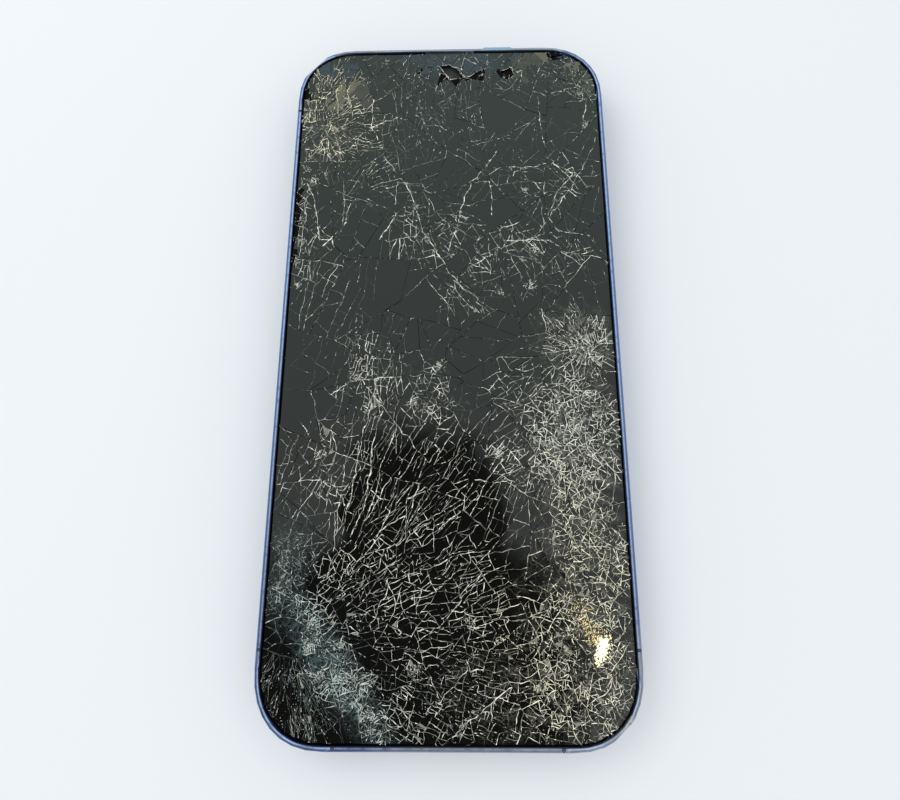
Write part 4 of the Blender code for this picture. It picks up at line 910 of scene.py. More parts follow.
@dataclass(frozen=True)
class SheetFinish:
    """Dark gloss of the glass over the panel, hazy where it is crushed."""

    deep: Color = (0.0035, 0.0038, 0.0036)
    haze: Color = linear(146, 147, 134)
    teal: Color = linear(84, 108, 110)
    slate: Color = linear(40, 54, 64)
    roughness: float = 0.03
    crushed: tuple[tuple[float, ...], ...] = (
        (1, 27, 1, 7, 7, 0, 0.9), (1, 25, -21, 9, 14, 0, 0.9), (0.7, 26, -50, 10, 18, 0, 0.9),
        (0.55, 20, -64, 17, 8, 0, 0.9), (0.4, -29, 54, 6, 11, 0, 0.9))
    teal_band: tuple[tuple[float, ...], ...] = (
        (1, -21, -60.5, 3.6, 16, 38, 0.8), (0.6, -31, -45, 3, 8, 0, 0.9))

    def make(self) -> bpy.types.Material:
        """Builds the material."""
        finish = Finish("cracked_glass")
        cloud = finish.noise(2.4, 3.0).over(0.46, 0.58)
        fine = finish.cells(0.95, 0.13).above(finish.cells(0.6, 0.08, turn=25.0) * 0.5)
        crush = finish.patches(*self.crushed)
        band = finish.patches(*self.teal_band)
        color = finish.blend(crush * fine * cloud * 0.35, self.deep, self.haze)
        color = finish.blend(band * fine * (cloud * 0.4 + 0.3), color, self.teal)
        color = finish.blend(band * 0.02, color, self.haze)
        notch = finish.patch(2.5, 69.6, 10.2, 3.9, 0, 0.35)
        color = finish.blend(notch * 0.3, color, self.slate)
        finish.set(Base_Color=color, Roughness=crush * fine * 0.2 + self.roughness, IOR=1.5)
        return finish.material


@dataclass(frozen=True)
class ShardTint:
    """Small shards at their own slant, with a colour that is mostly a painted reflection or
    highlight.
    """

    name: str
    color: Color
    roughness: float
    share: float
    spots: tuple[tuple[float, float, float, float], ...]
    specular: float = 0.5

    def holds(self, x: float, y: float) -> bool:
        """Whether a place in millimetres lies in one of the group's spots."""
        return any(math.hypot((x - px) / rx, (y - py) / ry) < 1.0
                   for px, py, rx, ry in self.spots)

    def make(self) -> bpy.types.Material:
        """Builds the material."""
        finish = Finish(self.name)
        tone = finish.noise(2.2, 2.0).over(0.3, 0.7) * 0.5
        finish.set(Base_Color=finish.blend(tone, self.color, shaded(self.color, 0.4)),
                   Roughness=self.roughness, Specular_IOR_Level=self.specular)
        return finish.material


@dataclass(frozen=True)
class Spray:
    """How the shards of one part of the glint lie, in millimetres."""

    reach: float
    start: float
    slant: float
    sizes: Point


@dataclass(frozen=True)
class GlintFinish:
    """A painted glint: shards that glow as if lit, near white in the middle and gold round it."""

    x: float = 28.6
    y: float = -57.2
    core: Color = (1.0, 0.95, 0.66)
    gold: Color = linear(206, 182, 122)
    strength: float = 0.9
    count: int = 560
    near_share: float = 0.4
    near: Spray = Spray(0.66, 0.0, -0.3, (0.15, 0.42))
    far: Spray = Spray(1.5, 3.6, 0.55, (0.06, 0.24))
    longer: float = 1.7
    right_end: float = 34.0

    def make(self) -> bpy.types.Material:
        """Builds the material."""
        finish = Finish("gold_glint")
        heart = finish.patch(self.x, self.y, 1.3, 2.6, -14, 0.8)
        # Colour and emission paint the glint; the shards are no lamp.
        finish.set(Base_Color=finish.blend(heart, self.gold, self.core), Roughness=0.3,
                   Emission_Color=finish.blend(heart, self.gold, self.core),
                   Emission_Strength=self.strength)
        return finish.material


@dataclass(frozen=True)
class BandMetal:
    """Anodised aluminium with small scuffs, and painted highlights and shade on its rim; sizes in
    mm.
    """

    tint: Color = (0.13, 0.18, 0.39)
    shine: Color = (0.52, 0.6, 0.85)
    painted_gap_shade: Color = (0.012, 0.018, 0.035)
    scuff_and_edge_sheen: Color = (0.22, 0.27, 0.42)
    silver: Color = (0.4, 0.4, 0.46)
    pale: Color = (0.36, 0.39, 0.42)
    lip: Color = (0.3, 0.42, 0.58)
    scraped: Color = (0.74, 0.74, 0.74)
    half_width: float = 35.75
    half_height: float = 73.75
    corner: float = 13.5
    power: float = 2.25
    far_edge: Point = (72.2, 72.9)
    top_level: Point = (7.3, 7.6)
    upper_level: Point = (6.2, 7.0)
    roughness: float = 0.3

    def rim_depth(self, finish: Finish) -> Value:
        """How far a point lies inside the band's outline."""
        px, py, _ = finish.mm
        reach_x = (px.size() - (self.half_width - self.corner)).above(0.0)
        reach_y = (py.size() - (self.half_height - self.corner)).above(0.0)
        reach = (reach_x ** self.power + reach_y ** self.power) ** (1 / self.power)
        return self.corner - reach

    def make(self, name: str, rim: bool = True) -> bpy.types.Material:
        """Builds the material, with the rim's tones and scrapes where they are asked for."""
        finish = Finish(name)
        color = finish.blend(finish.noise(5.0, 3.0).over(0.3, 0.7) * 0.25, self.tint,
                             shaded(self.tint, 0.6))
        scuff = finish.noise(0.35, 3.0, (4.0, 4.0, 0.7)).over(0.62, 0.7)
        color = finish.blend(scuff * 0.25, color, self.scuff_and_edge_sheen)
        if rim:
            color = self._rim(finish, color)
        finish.set(Base_Color=color, Metallic=1.0,
                   Roughness=finish.noise(1.4, 3.0).over(0.3, 0.7) * 0.12 + self.roughness)
        finish.bump(finish.noise(0.25, 2.0), 0.003)
        return finish.material

    def _rim(self, finish: Finish, color: bpy.types.NodeSocket) -> bpy.types.NodeSocket:
        """Adds painted highlights and shade on the rim, silver and blue patches, and scrapes."""
        depth = self.rim_depth(finish)
        on_top = finish.mm[2].over(*self.top_level)
        broken = finish.noise(1.3, 4.0).over(0.28, 0.5)
        # Silver-grey at the lower right corner and along the bottom.
        silver_stretch = finish.patches((1, 31, -69, 9, 14, -20, 0.5), (1, 12, -74, 26, 1.8))
        far = finish.mm[1].over(*self.far_edge)
        color = finish.blend(silver_stretch * 0.8, color, self.silver)
        # Painted reflection: the far top end of the band is painted pale grey.
        color = finish.blend(far * 0.85, color, self.pale)
        # Painted highlight: a pale line along the rim's top near its inner edge, broken by noise.
        lit = depth.over(0.42, 0.52) * depth.over(0.8, 0.7)
        color = finish.blend(lit * broken * on_top * 0.7, color, self.shine)
        # Painted highlight along the rim's outermost edge, in the scuffs' paler blue.
        color = finish.blend(depth.over(0.2, 0.05) * on_top * 0.5, color, self.scuff_and_edge_sheen)
        upper = finish.mm[2].over(*self.upper_level)
        # A light-blue patch on the upper band at the top end, right of the middle.
        top_blue_patch = finish.patch(11.5, 74, 3.8, 1.0, 0, 0.3) * upper
        color = finish.blend(top_blue_patch * 0.9, color, self.lip)
        low_right = finish.patch(32.2, -69.2, 3.6, 1.6, -48, 0.5)
        top_left = finish.patch(-32, 69, 3.4, 1.4, 48, 0.6)
        grain = finish.noise(0.4, 3.0, rough=0.7).over(0.44, 0.58)
        color = finish.blend(low_right.above(top_left * 0.5) * grain * upper, color, self.scraped)
        # Painted shade on the rim's inner edge by the glass, wider along the far top end.
        inner = depth.over(0.74, 0.84).above(far * depth.over(0.55, 0.65))
        return finish.blend(inner * on_top * 0.9, color, self.painted_gap_shade)


@dataclass(frozen=True)
class PlainFinish:
    """A plastic, plate or film with fine grain and a slight change of tone."""

    color: Color
    roughness: float
    metallic: float = 0.0
    grain_mm: float = 0.35
    grain_depth_mm: float = 0.006
    variation: float = 0.3
    specular: float = 0.5

    def make(self, name: str) -> bpy.types.Material:
        """Builds the material."""
        finish = Finish(name)
        tone = finish.noise(4.0, 3.0).over(0.3, 0.7) * self.variation
        finish.set(Base_Color=finish.blend(tone, self.color, shaded(self.color, 0.5)),
                   Roughness=finish.noise(1.3, 2.0).over(0.3, 0.7) * 0.14 + self.roughness,
                   Metallic=self.metallic, Specular_IOR_Level=self.specular)
        finish.bump(finish.noise(self.grain_mm, 3.0), self.grain_depth_mm)
        return finish.material


@dataclass(frozen=True)
class BackGlassFinish:
    """Tinted back glass, smooth with faint smears and hairline scratches."""

    color: Color = linear(150, 158, 205)
    deep: Color = linear(112, 120, 172)
    roughness: float = 0.16

    def make(self, name: str) -> bpy.types.Material:
        """Builds the material."""
        finish = Finish(name)
        smear = finish.noise(14.0, 3.0, (1.0, 2.2, 1.0), 30.0).over(0.35, 0.7)
        hair = finish.noise(0.5, 1.0, (26.0, 0.6, 1.0), 24.0).over(0.66, 0.7)
        color = finish.blend(smear * 0.55, self.color, self.deep)
        color = finish.blend(hair * 0.25, color, linear(222, 224, 238))
        finish.set(Base_Color=color, Roughness=smear * 0.14 + self.roughness, Coat_Weight=0.5)
        return finish.material


@dataclass(frozen=True)
class LensFinish:
    """Camera glass over dark rings round a lens's middle."""

    x_mm: float
    y_mm: float

    def make(self, name: str) -> bpy.types.Material:
        """Builds the material."""
        finish = Finish(name)
        px, py, _ = finish.mm
        away = ((px - self.x_mm) ** 2.0 + (py - self.y_mm) ** 2.0) ** 0.5
        ring = away.over(4.55, 4.65) * away.over(4.95, 4.85)
        inner = away.over(3.1, 3.0) * away.over(2.1, 2.3)
        pupil = away.over(2.0, 0.8)
        color = finish.blend(ring, (0.004, 0.004, 0.005), (0.05, 0.05, 0.055))
        color = finish.blend(inner * 0.8, color, (0.012, 0.014, 0.03))
        color = finish.blend(pupil * 0.8, color, (0.016, 0.01, 0.035))
        finish.set(Base_Color=color, Roughness=0.05, Coat_Weight=1.0)
        return finish.material


@dataclass
class GlassDress:
    """Cracks, splinters, tinted shards with painted reflections and highlights, and grit on the
    broken sheet, and its own finish.
    """

    rules: CrushMap = field(default_factory=CrushMap)
    flatness: float = 0.16
    flake_thickness: float = 0.1
    facet_rise: float = 0.03
    facet_inset: float = 0.05
    depth: float = 0.03
    run_depth: float = 0.02
    run_part: float = 1.3
    run_swell: float = 1.45
    twig_share: float = 0.3
    twig_half: float = 0.05
    splinter_halves: Point = (0.025, 0.06)
    clump_count: int = 32
    loose_splinters: int = 1500
    loose_cell: float = 1.25
    loose_halves: Point = (0.02, 0.045)
    # Small pale shards whose colour is a painted highlight.
    pale: ShardTint = ShardTint("pale_highlight_shards", linear(150, 151, 138), 0.3, 1.0, ())
    highlight_cell: float = 2.3
    highlight_size: float = 0.85
    highlight_share: float = 0.08
    flake_height: float = 0.2
    grit_cell: float = 1.45
    grit_reach: float = 1.1
    grit_fade: float = 1.15
    grit_count: float = 2.4
    grit_rise: float = 0.01
    grit_sizes: Point = (0.04, 0.14)
    seed: int = 5
    clumps: tuple[tuple[float, float, float], ...] = (
        (-7.9, -57.3, 1.6), (-6.0, -60.6, 1.5), (-4.1, -65.5, 1.6), (-22.5, -46.1, 1.7),
        (-19.3, -44.0, 1.3), (-25.4, -22.0, 1.3), (-19.4, -6.8, 1.3), (-15.3, -5.8, 1.6),
        (-22.4, -9.9, 0.9), (-15.7, -13.0, 1.5), (-1.8, -3.8, 1.1), (-7.5, -11.4, 1.0),
        (4.1, -53.1, 1.3), (6.0, -58.1, 1.4), (12.5, -53.0, 1.8), (25.5, -17.3, 1.1),
        (28.3, -22.2, 1.2), (22.2, -24.1, 1.0), (30.0, -27.0, 1.0), (24.8, -31.7, 1.1),
        (29.4, -2.9, 1.9), (26.8, 0.0, 2.4), (-26.7, 52.1, 1.6), (-24.0, 43.5, 1.1),
        (-30.9, 44.4, 1.6), (-23.6, 60.1, 1.7), (-4.2, 24.7, 1.4), (-7.7, 32.2, 0.7),
        (-34.0, 54.9, 1.5), (-15.6, 69.0, 1.6), (20.7, -57.2, 1.4), (25.8, -63.8, 1.4),
        (16.8, -63.8, 1.6), (9.7, -55.6, 1.3), (-23.4, -30.6, 1.2), (1.3, 19.5, 1.0),
        (18.8, 21.6, 1.2), (24.3, 37.7, 0.7), (16.9, 36.1, 0.7), (8.1, 40.7, 0.7),
        (2.2, -70.0, 1.5), (9.4, -70.6, 1.5), (-10.2, -41.7, 1.1), (-5.5, -34.4, 0.9),
        (10.3, -22.1, 1.4), (32.0, -47.0, 1.1), (31.0, 65.0, 1.5), (31.5, 52.0, 1.0),
        (-33.4, 34.0, 0.9), (-33.6, 29.5, 1.0), (-33.8, 24.5, 0.9), (-33.6, 20.0, 1.0),
        (-32.6, 14.0, 0.6), (-8.0, 25.5, 1.0), (12.0, 12.0, 1.2), (17.5, 13.5, 1.2),
        (28.5, -10.0, 1.0), (22.0, -11.0, 0.9), (-32.3, 43.0, 2.0), (-28.6, 42.2, 2.3),
        (-25.0, 43.0, 2.0), (-31.0, 39.0, 1.4), (31.0, -34.0, 1.0), (25.0, -40.0, 1.2),
    )
    runs: tuple[tuple[float, tuple[Point, ...]], ...] = (
        (0.8, ((-26, 63), (-28, 54), (-24.5, 45), (-23.5, 33.5), (-24.2, 24.5))),
        (0.9, ((-18, 60), (-18.2, 52.8), (-16.6, 49.3))),
        (0.95, ((-18.2, 52.8), (-12.3, 55), (-9.9, 54.5))),
        (0.85, ((-18.2, 52.8), (-23, 49.4), (-29.2, 47), (-33.4, 47))),
        (0.4, ((-10, 61.8), (-6.2, 57), (-2.2, 53.5))),
        (0.85, ((20.8, 60), (20.8, 57.4), (21.6, 48.7), (23.7, 42.7), (26, 41.4), (28, 40))),
        (0.85, ((28, 40), (24.2, 35.2), (22, 29.4), (24, 26.6), (28, 25.2), (31, 24.8))),
        (0.7, ((34, 49), (31, 42.6), (26.7, 35.5), (20, 26), (15, 20.4))),
        (0.95, ((11.2, 46.3), (7.7, 41.2), (5.4, 38.7), (3.6, 34.5), (1.8, 27.3), (-0.4, 21))),
        (0.75, ((5.4, 38.7), (12.3, 41.9), (20.2, 41.8))),
        (0.45, ((4, 47), (12.4, 49.6), (18.8, 53.2))),
        (0.65, ((5.4, 38.7), (9.2, 38.4), (9.8, 33.7), (9, 28), (6.2, 24))),
        (0.75, ((16, 36.8), (18.2, 34.3), (19.6, 30.4))),
        (0.8, ((6.2, 24), (12, 27), (16.4, 28.8))),
        (0.5, ((4, 17.5), (10.5, 21.5), (16, 24.5))),
        (0.95, ((-15, 45), (-9.6, 37.2), (-7, 31), (-5.8, 26), (-2, 20.2), (0.2, 16.5), (4, 12))),
        (0.6, ((-24, 34.2), (-17.2, 34), (-11, 30), (-7.2, 31))),
        (1.0, ((-15.3, 24.4), (-13.4, 27.8), (-11.7, 30.8))),
        (1.1, ((-32.4, 38.5), (-30.6, 34.5), (-29.7, 31), (-28.7, 24.5), (-25.7, 24.3))),
        (0.85, ((-27.8, 22.9), (-23.6, 27.6), (-22.3, 33.4))),
        (0.8, ((12, 24), (16.3, 24), (22.2, 23.9), (25.8, 20.8), (31, 22.2))),
        (0.8, ((32.3, 59), (31, 53.8), (34, 51))),
        (0.9, ((-20.2, -21.8), (-21, -28.4), (-21.5, -31.4), (-22, -40))),
        (0.95, ((-15.8, -12), (-17.2, -17), (-19, -28), (-20.9, -40))),
        (0.95, ((-13.6, -13), (-14.7, -17), (-16.5, -32.5), (-19.4, -38.4))),
        (0.85, ((-10.6, -17), (-13.3, -23.4), (-14.3, -28.8), (-17.5, -37.7))),
        (0.8, ((-9.6, -24.9), (-11.4, -32.5), (-15, -40))),
        (0.7, ((-3.7, -19), (-6.7, -30.7), (-9.3, -38))),
        (0.7, ((-27, -51), (-22.4, -48.8), (-9.2, -41.7), (0.4, -34.4), (4.5, -31))),
        (0.6, ((-24, -54), (-12, -50), (3, -46), (12, -42))),
        (0.5, ((-20.3, -31.6), (-25, -23.5), (-30.4, -15))),
    )
    # Painted reflections in khaki, olive and slate; the black shards are plain black.
    tints: tuple[ShardTint, ...] = (
        ShardTint("khaki_reflection_shards", linear(104, 100, 78), 0.25, 0.65, (
            (-24.4, 63.2, 2.4, 2.6), (-27.0, 59.4, 2.2, 2.0), (22.4, 71.0, 2.6, 1.4),
            (29.0, 68.4, 2.2, 1.6))),
        ShardTint("olive_reflection_shards", linear(60, 60, 52), 0.2, 0.75, (
            (18.4, 68.4, 3.4, 3.8), (-20.5, 61.5, 2.4, 4.0), (33.0, 63.0, 1.4, 3.0))),
        ShardTint("slate_reflection_shards", linear(34, 47, 60), 0.12, 0.5, (
            (-5.6, 70.6, 5.6, 3.2), (5.6, 70.4, 6.0, 2.6), (12.0, 71.6, 4.0, 1.8),
            (-27.0, 68.5, 5.0, 2.0))),
        ShardTint("black_shards", (0.006, 0.005, 0.005), 0.6, 0.95, (
            (-1.4, 66.4, 1.8, 1.5), (3.2, 65.4, 2.4, 1.3), (7.4, 66.6, 1.6, 1.3),
            (13.8, 66.6, 1.8, 1.6), (25.2, 71.4, 2.2, 1.0), (-33.2, 61.9, 0.9, 1.6),
            (-6.8, 67.5, 0.8, 0.7), (-34.3, 31.0, 1.0, 7.5), (-34.5, 20.0, 0.9, 5.5)),
                  specular=0.04),
    )

    def build(self) -> None:
        """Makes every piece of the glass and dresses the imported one."""
        node = frame["nodes"][GLASS_NODE]
        sheet = BrokenSheet.read(node)
        LOG.info("%d shards, %d grooves, %d chip edges", len(sheet.shards), len(sheet.grooves),
                 len(sheet.chip_edges))
        dress(node, SheetFinish().make())
        network = CrackNetwork(sheet, self.rules)
        network.trace()
        rng = random.Random(self.seed)
        self._long_runs(network, rng)
        self._splinters(network, rng)
        garden = crack_tree()
        for family in Family:
            for glow, finish in CRACK_FINISHES.items():
                lines = [line for line in network.lines
                         if line.glow is glow and line.family is family]
                if not lines:
                    continue
                name = f"{family.value}_{glow.value}"
                piece = garden.grow(name, crack_seed_mesh(name + "_edges", lines), {
                    "Flatness": self.flatness, "Material": finish.make(name)})
                place(piece, BODY, GLASS_SLOT)
        for tint in self.tints:
            self._facets(tint, [leaf for leaf in network.leaves
                                if tint.holds(*middle_of(leaf.outline))
                                and rng.random() < tint.share])
        self._facets(self.pale, [leaf for leaf in network.leaves if self._gets_painted_highlight(leaf, rng)])
        self._grit(sheet, rng)
        self._glint(sheet, rng)

    def _long_runs(self, network: CrackNetwork, rng: random.Random) -> None:
        """The long cracks that cross the clear glass, in short parts of their own glow."""
        level = network.sheet.top - self.run_depth
        for strength, run in self.runs:
            for start, stop in zip(run, run[1:]):
                ends = [Vector((*start, level)), Vector((*stop, level))]
                parts = max(2, round((ends[1] - ends[0]).length / self.run_part))
                for index in range(parts):
                    first = ends[0].lerp(ends[1], index / parts)
                    last = ends[0].lerp(ends[1], (index + 1) / parts)
                    network.lay(first, last, rng.uniform(0.7, 1.15) * strength, rng,
                                Family.RUN, self.run_swell)
                    if rng.random() < self.twig_share * strength:
                        network.stroke(last, rng.uniform(0, FULL_TURN), rng.uniform(0.4, 1.6),
                                       Glow.MID, self.twig_half, rng)

    def _splinters(self, network: CrackNetwork, rng: random.Random) -> None:
        """Short free splinters at bright joints, thick in the clumps and loose all over."""
        for knot in network.knots:
            way = rng.uniform(0, FULL_TURN)
            for _ in range(rng.randint(1, 4)):
                network.sprig(knot, way + rng.uniform(-0.9, 0.9), (0.2, 0.8),
                              (Glow.BRIGHT, Glow.MID), self.splinter_halves, rng)
        level = network.sheet.top - self.depth
        for x, y, reach in self.clumps:
            lean = rng.uniform(0, math.pi)
            for _ in range(int(self.clump_count * reach)):
                spot = Vector((x + rng.gauss(0, reach * 0.5), y + rng.gauss(0, reach * 0.5),
                               level))
                network.sprig(spot, lean + rng.gauss(0, 0.7), (0.2, 0.85),
                              (Glow.BRIGHT, Glow.BRIGHT, Glow.MID), self.splinter_halves, rng)
        for _ in range(self.loose_splinters):
            spot = Vector((rng.uniform(-33, 33), rng.uniform(-69, 69), level))
            cell, _, way, bright = self.rules.rule(spot.x, spot.y)
            if self.loose_cell < cell < self.rules.clear_cell and rng.random() < bright + 0.35:
                lean = rng.uniform(0, math.pi) if way is None else way + rng.gauss(0, 0.5)
                network.sprig(spot, lean, (0.2, 1.1), (Glow.BRIGHT, Glow.MID, Glow.MID),
                              self.loose_halves, rng)

    def _facets(self, tint: ShardTint, leaves: list[Leaf]) -> None:
        """Thin tinted shards over the sheet's own."""
        piece = shard_prisms(tint.name, leaves, self.facet_rise, self.facet_inset)
        dress(piece, tint.make())
        place(piece, BODY, GLASS_SLOT)

    def _gets_painted_highlight(self, leaf: Leaf, rng: random.Random) -> bool:
        """Whether a piece is a small one in crushed glass that is picked by chance for a painted
        highlight.
        """
        cell, _, _, bright = self.rules.rule(*middle_of(leaf.outline))
        size = math.sqrt(outline_area(leaf.outline))
        return (cell < self.highlight_cell and size < self.highlight_size
                and rng.random() < self.highlight_share * bright)

    def _scatter(self, name: str, spots: list[Vector], sizes: list[float],
                 material: bpy.types.Material, rng: random.Random) -> None:
        """Sets small flat chips of glass at the spots."""
        shapes = [part * MM for size in sizes
                  for part in (size, size * rng.uniform(0.25, 0.8), self.flake_height)]
        points = seed_mesh(name + "_points", spots, [], "size", "FLOAT_VECTOR", shapes)
        piece = flake_tree().grow(name, points, {
            "Thickness": self.flake_thickness, "Seed": len(spots), "Material": material})
        place(piece, BODY, GLASS_SLOT)

    def _grit(self, sheet: BrokenSheet, rng: random.Random) -> None:
        """Crushed grains in the densest zones."""
        spots, sizes = [], []
        dense = [zone for zone in self.rules.zones if zone.cell < self.grit_cell]
        for shard in sheet.shards:
            area = outline_area(shard.outline)
            for zone in dense:
                depth = zone.depth(*middle_of(shard.outline))
                if depth > self.grit_reach:
                    continue
                count = area * (self.grit_fade - depth) * self.grit_count / zone.cell
                for _ in range(int(count + rng.random())):
                    x, y = random_inside(shard.outline, rng)
                    spots.append(Vector((x, y, shard.height(x, y) + self.grit_rise)))
                    sizes.append(rng.uniform(*self.grit_sizes))
        self._scatter("crushed_grit", spots, sizes, GRIT_FINISH.make("crushed_grit"), rng)

    def _glint(self, sheet: BrokenSheet, rng: random.Random) -> None:
        """The cluster of shards that carries the painted gold glint."""
        finish = GlintFinish()
        spots, sizes = [], []
        for _ in range(finish.count):
            spray = finish.near if rng.random() < finish.near_share else finish.far
            along = rng.gauss(0, spray.reach * finish.longer) + spray.start
            x = finish.x + rng.gauss(0, spray.reach) - along * spray.slant
            if x < finish.right_end:
                spots.append(Vector((x, finish.y + along, sheet.top - self.depth)))
                sizes.append(rng.uniform(*spray.sizes))
        self._scatter("gold_glint", spots, sizes, finish.make(), rng)


def middle_of(outline: list[Point]) -> Point:
    """The mean of an outline's corners."""
    count = len(outline)
    return sum(p[0] for p in outline) / count, sum(p[1] for p in outline) / count


def shard_prisms(name: str, leaves: list[Leaf], rise: float, inset: float) -> bpy.types.Object:
    """Makes one closed thin prism over each shard piece.

    Args:
        name: The object's name.
        leaves: The shard pieces.
        rise: How far the prisms stand out of the glass, in millimetres.
        inset: The gap left round each, in millimetres.

    Returns:
        One object that holds them all.
    """
    bm = bmesh.new()
    for leaf in leaves:
        mid_x, mid_y = middle_of(leaf.outline)
        rings = []
        for offset in (-rise, rise):
            ring = []
            for x, y in leaf.outline:
                away = math.hypot(x - mid_x, y - mid_y)
                share = max(0.0, 1 - inset / away) if away > 0 else 0.0
                px, py = mid_x + (x - mid_x) * share, mid_y + (y - mid_y) * share
                height = leaf.shard.height(px, py) + offset
                ring.append(bm.verts.new((px * MM, py * MM, height * MM)))
            rings.append(ring)
        low, high = rings
        bm.faces.new(high)
        bm.faces.new(low[::-1])
        for index in range(len(low)):
            ahead = (index + 1) % len(low)
            bm.faces.new((low[index], low[ahead], high[ahead], high[index]))
    bmesh.ops.recalc_face_normals(bm, faces=bm.faces)
    return add_object(name, mesh_of(bm, name))


def outline_area(outline: list[Point]) -> float:
    """The area inside an outline."""
    pairs = zip(outline, outline[1:] + outline[:1])
    return abs(sum(a[0] * b[1] - b[0] * a[1] for a, b in pairs)) / 2


def random_inside(outline: list[Point], rng: random.Random) -> Point:
    """A random point inside a convex outline, by mixing its middle and one side."""
    mid_x, mid_y = middle_of(outline)
    index = rng.randrange(len(outline))
    start, stop = outline[index], outline[(index + 1) % len(outline)]
    share, out = rng.random(), math.sqrt(rng.random())
    x, y = start[0] + (stop[0] - start[0]) * share, start[1] + (stop[1] - start[1]) * share
    return mid_x + (x - mid_x) * out, mid_y + (y - mid_y) * out


def dress(node: bpy.types.Object, material: bpy.types.Material) -> None:
    """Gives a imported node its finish."""
    if not node.data.materials:
        node.data.materials.append(material)
    for slot in node.material_slots:
        slot.material = material


def place(piece: bpy.types.Object, body: str, slot: str) -> None:
    """Ties a new piece to its body and reports it."""
    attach(piece, body)
    LOG.info("%s: %d faces", piece.name, len(piece.data.polygons))


@dataclass
class CaseDress:
    """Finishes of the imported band, back, buttons and inner pieces."""

    smoothed: tuple[str, ...] = ("frame", "back_glass", "camera_island", "lens_ring_upper",
                                 "lens_ring_lower")
    smooth_angle: float = 24.0

    def _smooth_copy(self, node: bpy.types.Object, slot: str) -> bpy.types.Object:
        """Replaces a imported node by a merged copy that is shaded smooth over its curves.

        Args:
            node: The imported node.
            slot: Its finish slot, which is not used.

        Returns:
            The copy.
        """
        bm = bmesh.new()
        bm.from_mesh(node.data)
        bmesh.ops.remove_doubles(bm, verts=bm.verts, dist=MERGE_REACH)
        mesh = mesh_of(bm, node.name + "_smooth")
        mesh.shade_smooth()
        mesh.set_sharp_from_angle(angle=math.radians(self.smooth_angle))
        piece = add_object(mesh.name, mesh)
        weighted = piece.modifiers.new("flat_faces_lead", "WEIGHTED_NORMAL")
        weighted.keep_sharp = True
        evaluated = piece.evaluated_get(bpy.context.evaluated_depsgraph_get())
        finished = bpy.data.meshes.new_from_object(evaluated)
        piece.modifiers.clear()
        piece.data = finished
        place(piece, BODY, slot)
        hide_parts(node.name)
        return piece

    def build(self) -> None:
        """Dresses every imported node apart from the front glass."""
        nodes = frame["nodes"]
        band = BandMetal().make("blue_anodised")
        small_parts = BandMetal().make("blue_anodised_small", rim=False)
        slots = {part["node"]: part["material_slot"] for part in frame["record"]["subparts"]}
        plain = {
            "antenna_plastic": PlainFinish(linear(66, 72, 104), 0.45),
            "back_glass": BackGlassFinish(),
            "flash_plastic": PlainFinish(linear(232, 222, 178), 0.15, grain_mm=0.6,
                                         grain_depth_mm=0.02),
            "black_plastic": PlainFinish((0.012, 0.012, 0.013), 0.5),
            "display_black": PlainFinish((0.010, 0.008, 0.007), 0.5, grain_mm=0.8, specular=0.08),
            "steel": PlainFinish((0.5, 0.5, 0.52), 0.32, 1.0),
            "copper": PlainFinish((0.6, 0.28, 0.14), 0.35, 1.0),
            "magnet": PlainFinish((0.2, 0.2, 0.21), 0.45, 1.0),
            "circuit_board": PlainFinish((0.01, 0.03, 0.05), 0.45),
            "battery_wrap": PlainFinish((0.02, 0.02, 0.025), 0.4),
            "flex_film": PlainFinish((0.26, 0.1, 0.03), 0.35),
        }
        made = {slot: finish.make(slot) for slot, finish in plain.items()}
        made["blue_anodised"] = small_parts
        for name, node in list(nodes.items()):
            slot = slots[name]
            if name in self.smoothed:
                node = self._smooth_copy(node, slot)
            if name == "frame":
                dress(node, band)
            elif slot == "lens_glass":
                low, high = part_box(name)
                middle = (low + high) / (2 * MM)
                dress(node, LensFinish(middle.x, middle.y).make("lens_" + name))
            elif name != GLASS_NODE:
                dress(node, made[slot])
            LOG.info("%s wears %s", name, slot)


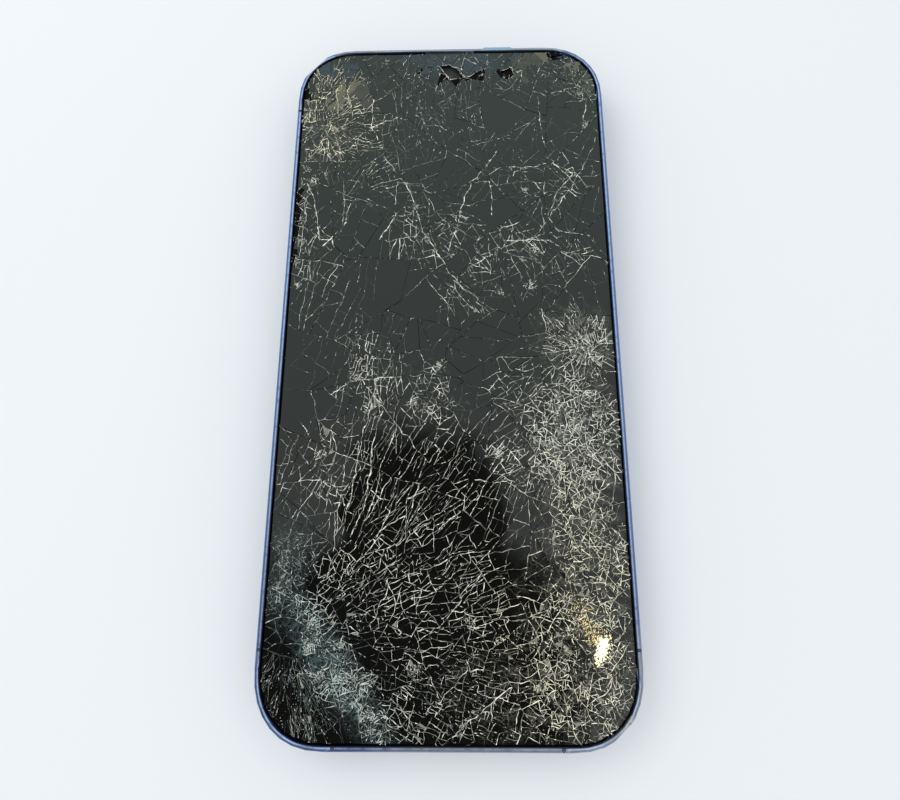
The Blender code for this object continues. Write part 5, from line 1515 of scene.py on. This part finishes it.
@dataclass
class Studio:
    """Camera, floor and light."""

    place: Color = (5.667, -26.933, 130.808)
    turn: Color = (15.1379, 1.21686, -0.1984)
    lens_mm: float = 24.0
    sensor_mm: float = 36.0
    clip: Point = (0.005, 20.0)
    shift: Point = (-0.01517, -0.09139)
    paper: Color = linear(239, 244, 247)
    floor_size: float = 3.0
    floor_gap: float = 0.00002
    even_sky: Color = (0.885, 0.89, 0.9)
    high_sky: Color = (1.0, 1.28, 1.2)
    low_sky: Color = (0.86, 0.96, 0.9)
    side_sky: Color = (0.95, 1.0, 1.05)
    horizon: Color = (0.16, 0.2, 0.3)
    flags: tuple[tuple[float, float, float, float], ...] = (
        (-5.5, -60.0, 17.5, 44.0), (-8.0, -78.0, 34.0, 40.0))
    flag_tone: Color = (0.05, 0.045, 0.04)
    lamp_place: Color = (-0.45, 0.35, 0.6)
    lamp_size: float = 0.5
    lamp_watts: float = 1.1
    lamp_tint: Color = (1.0, 0.98, 0.94)

    def build(self) -> None:
        """Sets up the camera, the floor, the world and the lamp."""
        self._camera()
        self._floor()
        self._world()
        self._lamp()
        bpy.context.scene.view_settings.view_transform = "Standard"

    def _camera(self) -> None:
        """The camera at the photograph's angle."""
        data = bpy.data.cameras.new("camera")
        data.lens, data.sensor_width = self.lens_mm, self.sensor_mm
        data.shift_x, data.shift_y = self.shift
        data.clip_start, data.clip_end = self.clip
        camera = add_object("camera", data)
        camera.location = [part * MM for part in self.place]
        camera.rotation_euler = [math.radians(part) for part in self.turn]
        bpy.context.scene.camera = camera

    def _floor(self) -> None:
        """A pale floor that the phone lies on: its lens rings and its lower back edge touch it."""
        ring_low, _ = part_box("lens_ring_lower")
        back_low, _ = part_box("back_glass")
        slope = math.atan2(back_low.z - ring_low.z, ring_low.y - back_low.y)
        bm = bmesh.new()
        bmesh.ops.create_grid(bm, x_segments=1, y_segments=1, size=self.floor_size / 2)
        bmesh.ops.rotate(bm, verts=bm.verts, cent=(0.0, 0.0, 0.0),
                         matrix=Matrix.Rotation(-slope, 3, "X"))
        bmesh.ops.translate(bm, verts=bm.verts, vec=(0.0, back_low.y, back_low.z - self.floor_gap))
        floor = add_object("floor", mesh_of(bm, "floor"))
        finish = Finish("paper")
        finish.set(Base_Color=self.paper, Roughness=0.9, Specular_IOR_Level=0.1)
        floor.data.materials.append(finish.material)

    @staticmethod
    def _flagged(across: Value, along: Value, x: float, y: float, reach_x: float,
                 reach_y: float) -> Value:
        """How much of a soft rounded flag hangs at a point of the mirrored sky."""
        side, ahead = (across - x) * (1 / reach_x), (along - y) * (1 / reach_y)
        return ((side * side) ** 2.0 + (ahead * ahead) ** 2.0).over(1.25, 0.7)

    def _world(self) -> None:
        """An even sky for the light, a shaped one for mirrors and plain paper for the camera.

        Mirrors see a dark flag over the lower half of the screen, a cool sky over its upper
        half and a dim horizon, as a phone does that lies under a window.
        """
        world = bpy.data.worlds.new("studio")
        bpy.context.scene.world = world
        sky = Shading(world)
        rays = sky.node("ShaderNodeLightPath").outputs
        east, north, up = sky.split(sky.node("ShaderNodeTexCoord").outputs["Object"])
        rise = up.above(0.05)
        height = self.place[2]
        across = east / rise * height + self.place[0]
        along = north / rise * height + self.place[1]
        upright, low = (self._flagged(across, along, *flag) for flag in self.flags)
        upper = sky.blend(along.over(-20.0, 75.0), self.low_sky, self.high_sky)
        mirror = sky.blend(up.over(0.62, 0.75), self.side_sky, upper)
        mirror = sky.blend(up.over(0.02, 0.34), self.horizon, mirror)
        mirror = sky.blend(upright.above(low), mirror, self.flag_tone)
        light = sky.blend(rays["Is Glossy Ray"], self.even_sky, mirror)
        seen = sky.blend(rays["Is Camera Ray"], light, self.paper)
        back = sky.tree.nodes["Background"]
        sky.feed(back.inputs["Color"], seen)

    def _lamp(self) -> None:
        """One wide soft lamp from the upper left."""
        data = bpy.data.lights.new("window", "AREA")
        data.shape, data.size = "DISK", self.lamp_size
        data.energy, data.color = self.lamp_watts, self.lamp_tint
        lamp = add_object("window", data)
        lamp.location = self.lamp_place
        lamp.rotation_euler = (-lamp.location).to_track_quat("-Z", "Y").to_euler()
        lamp.visible_glossy = False


def main() -> None:
    """Builds the studio, then dresses the case and the glass."""
    logging.basicConfig(level=logging.INFO, format="%(name)s: %(message)s")
    Studio().build()
    CaseDress().build()
    GlassDress().build()


if __name__ == "__main__":
    main()
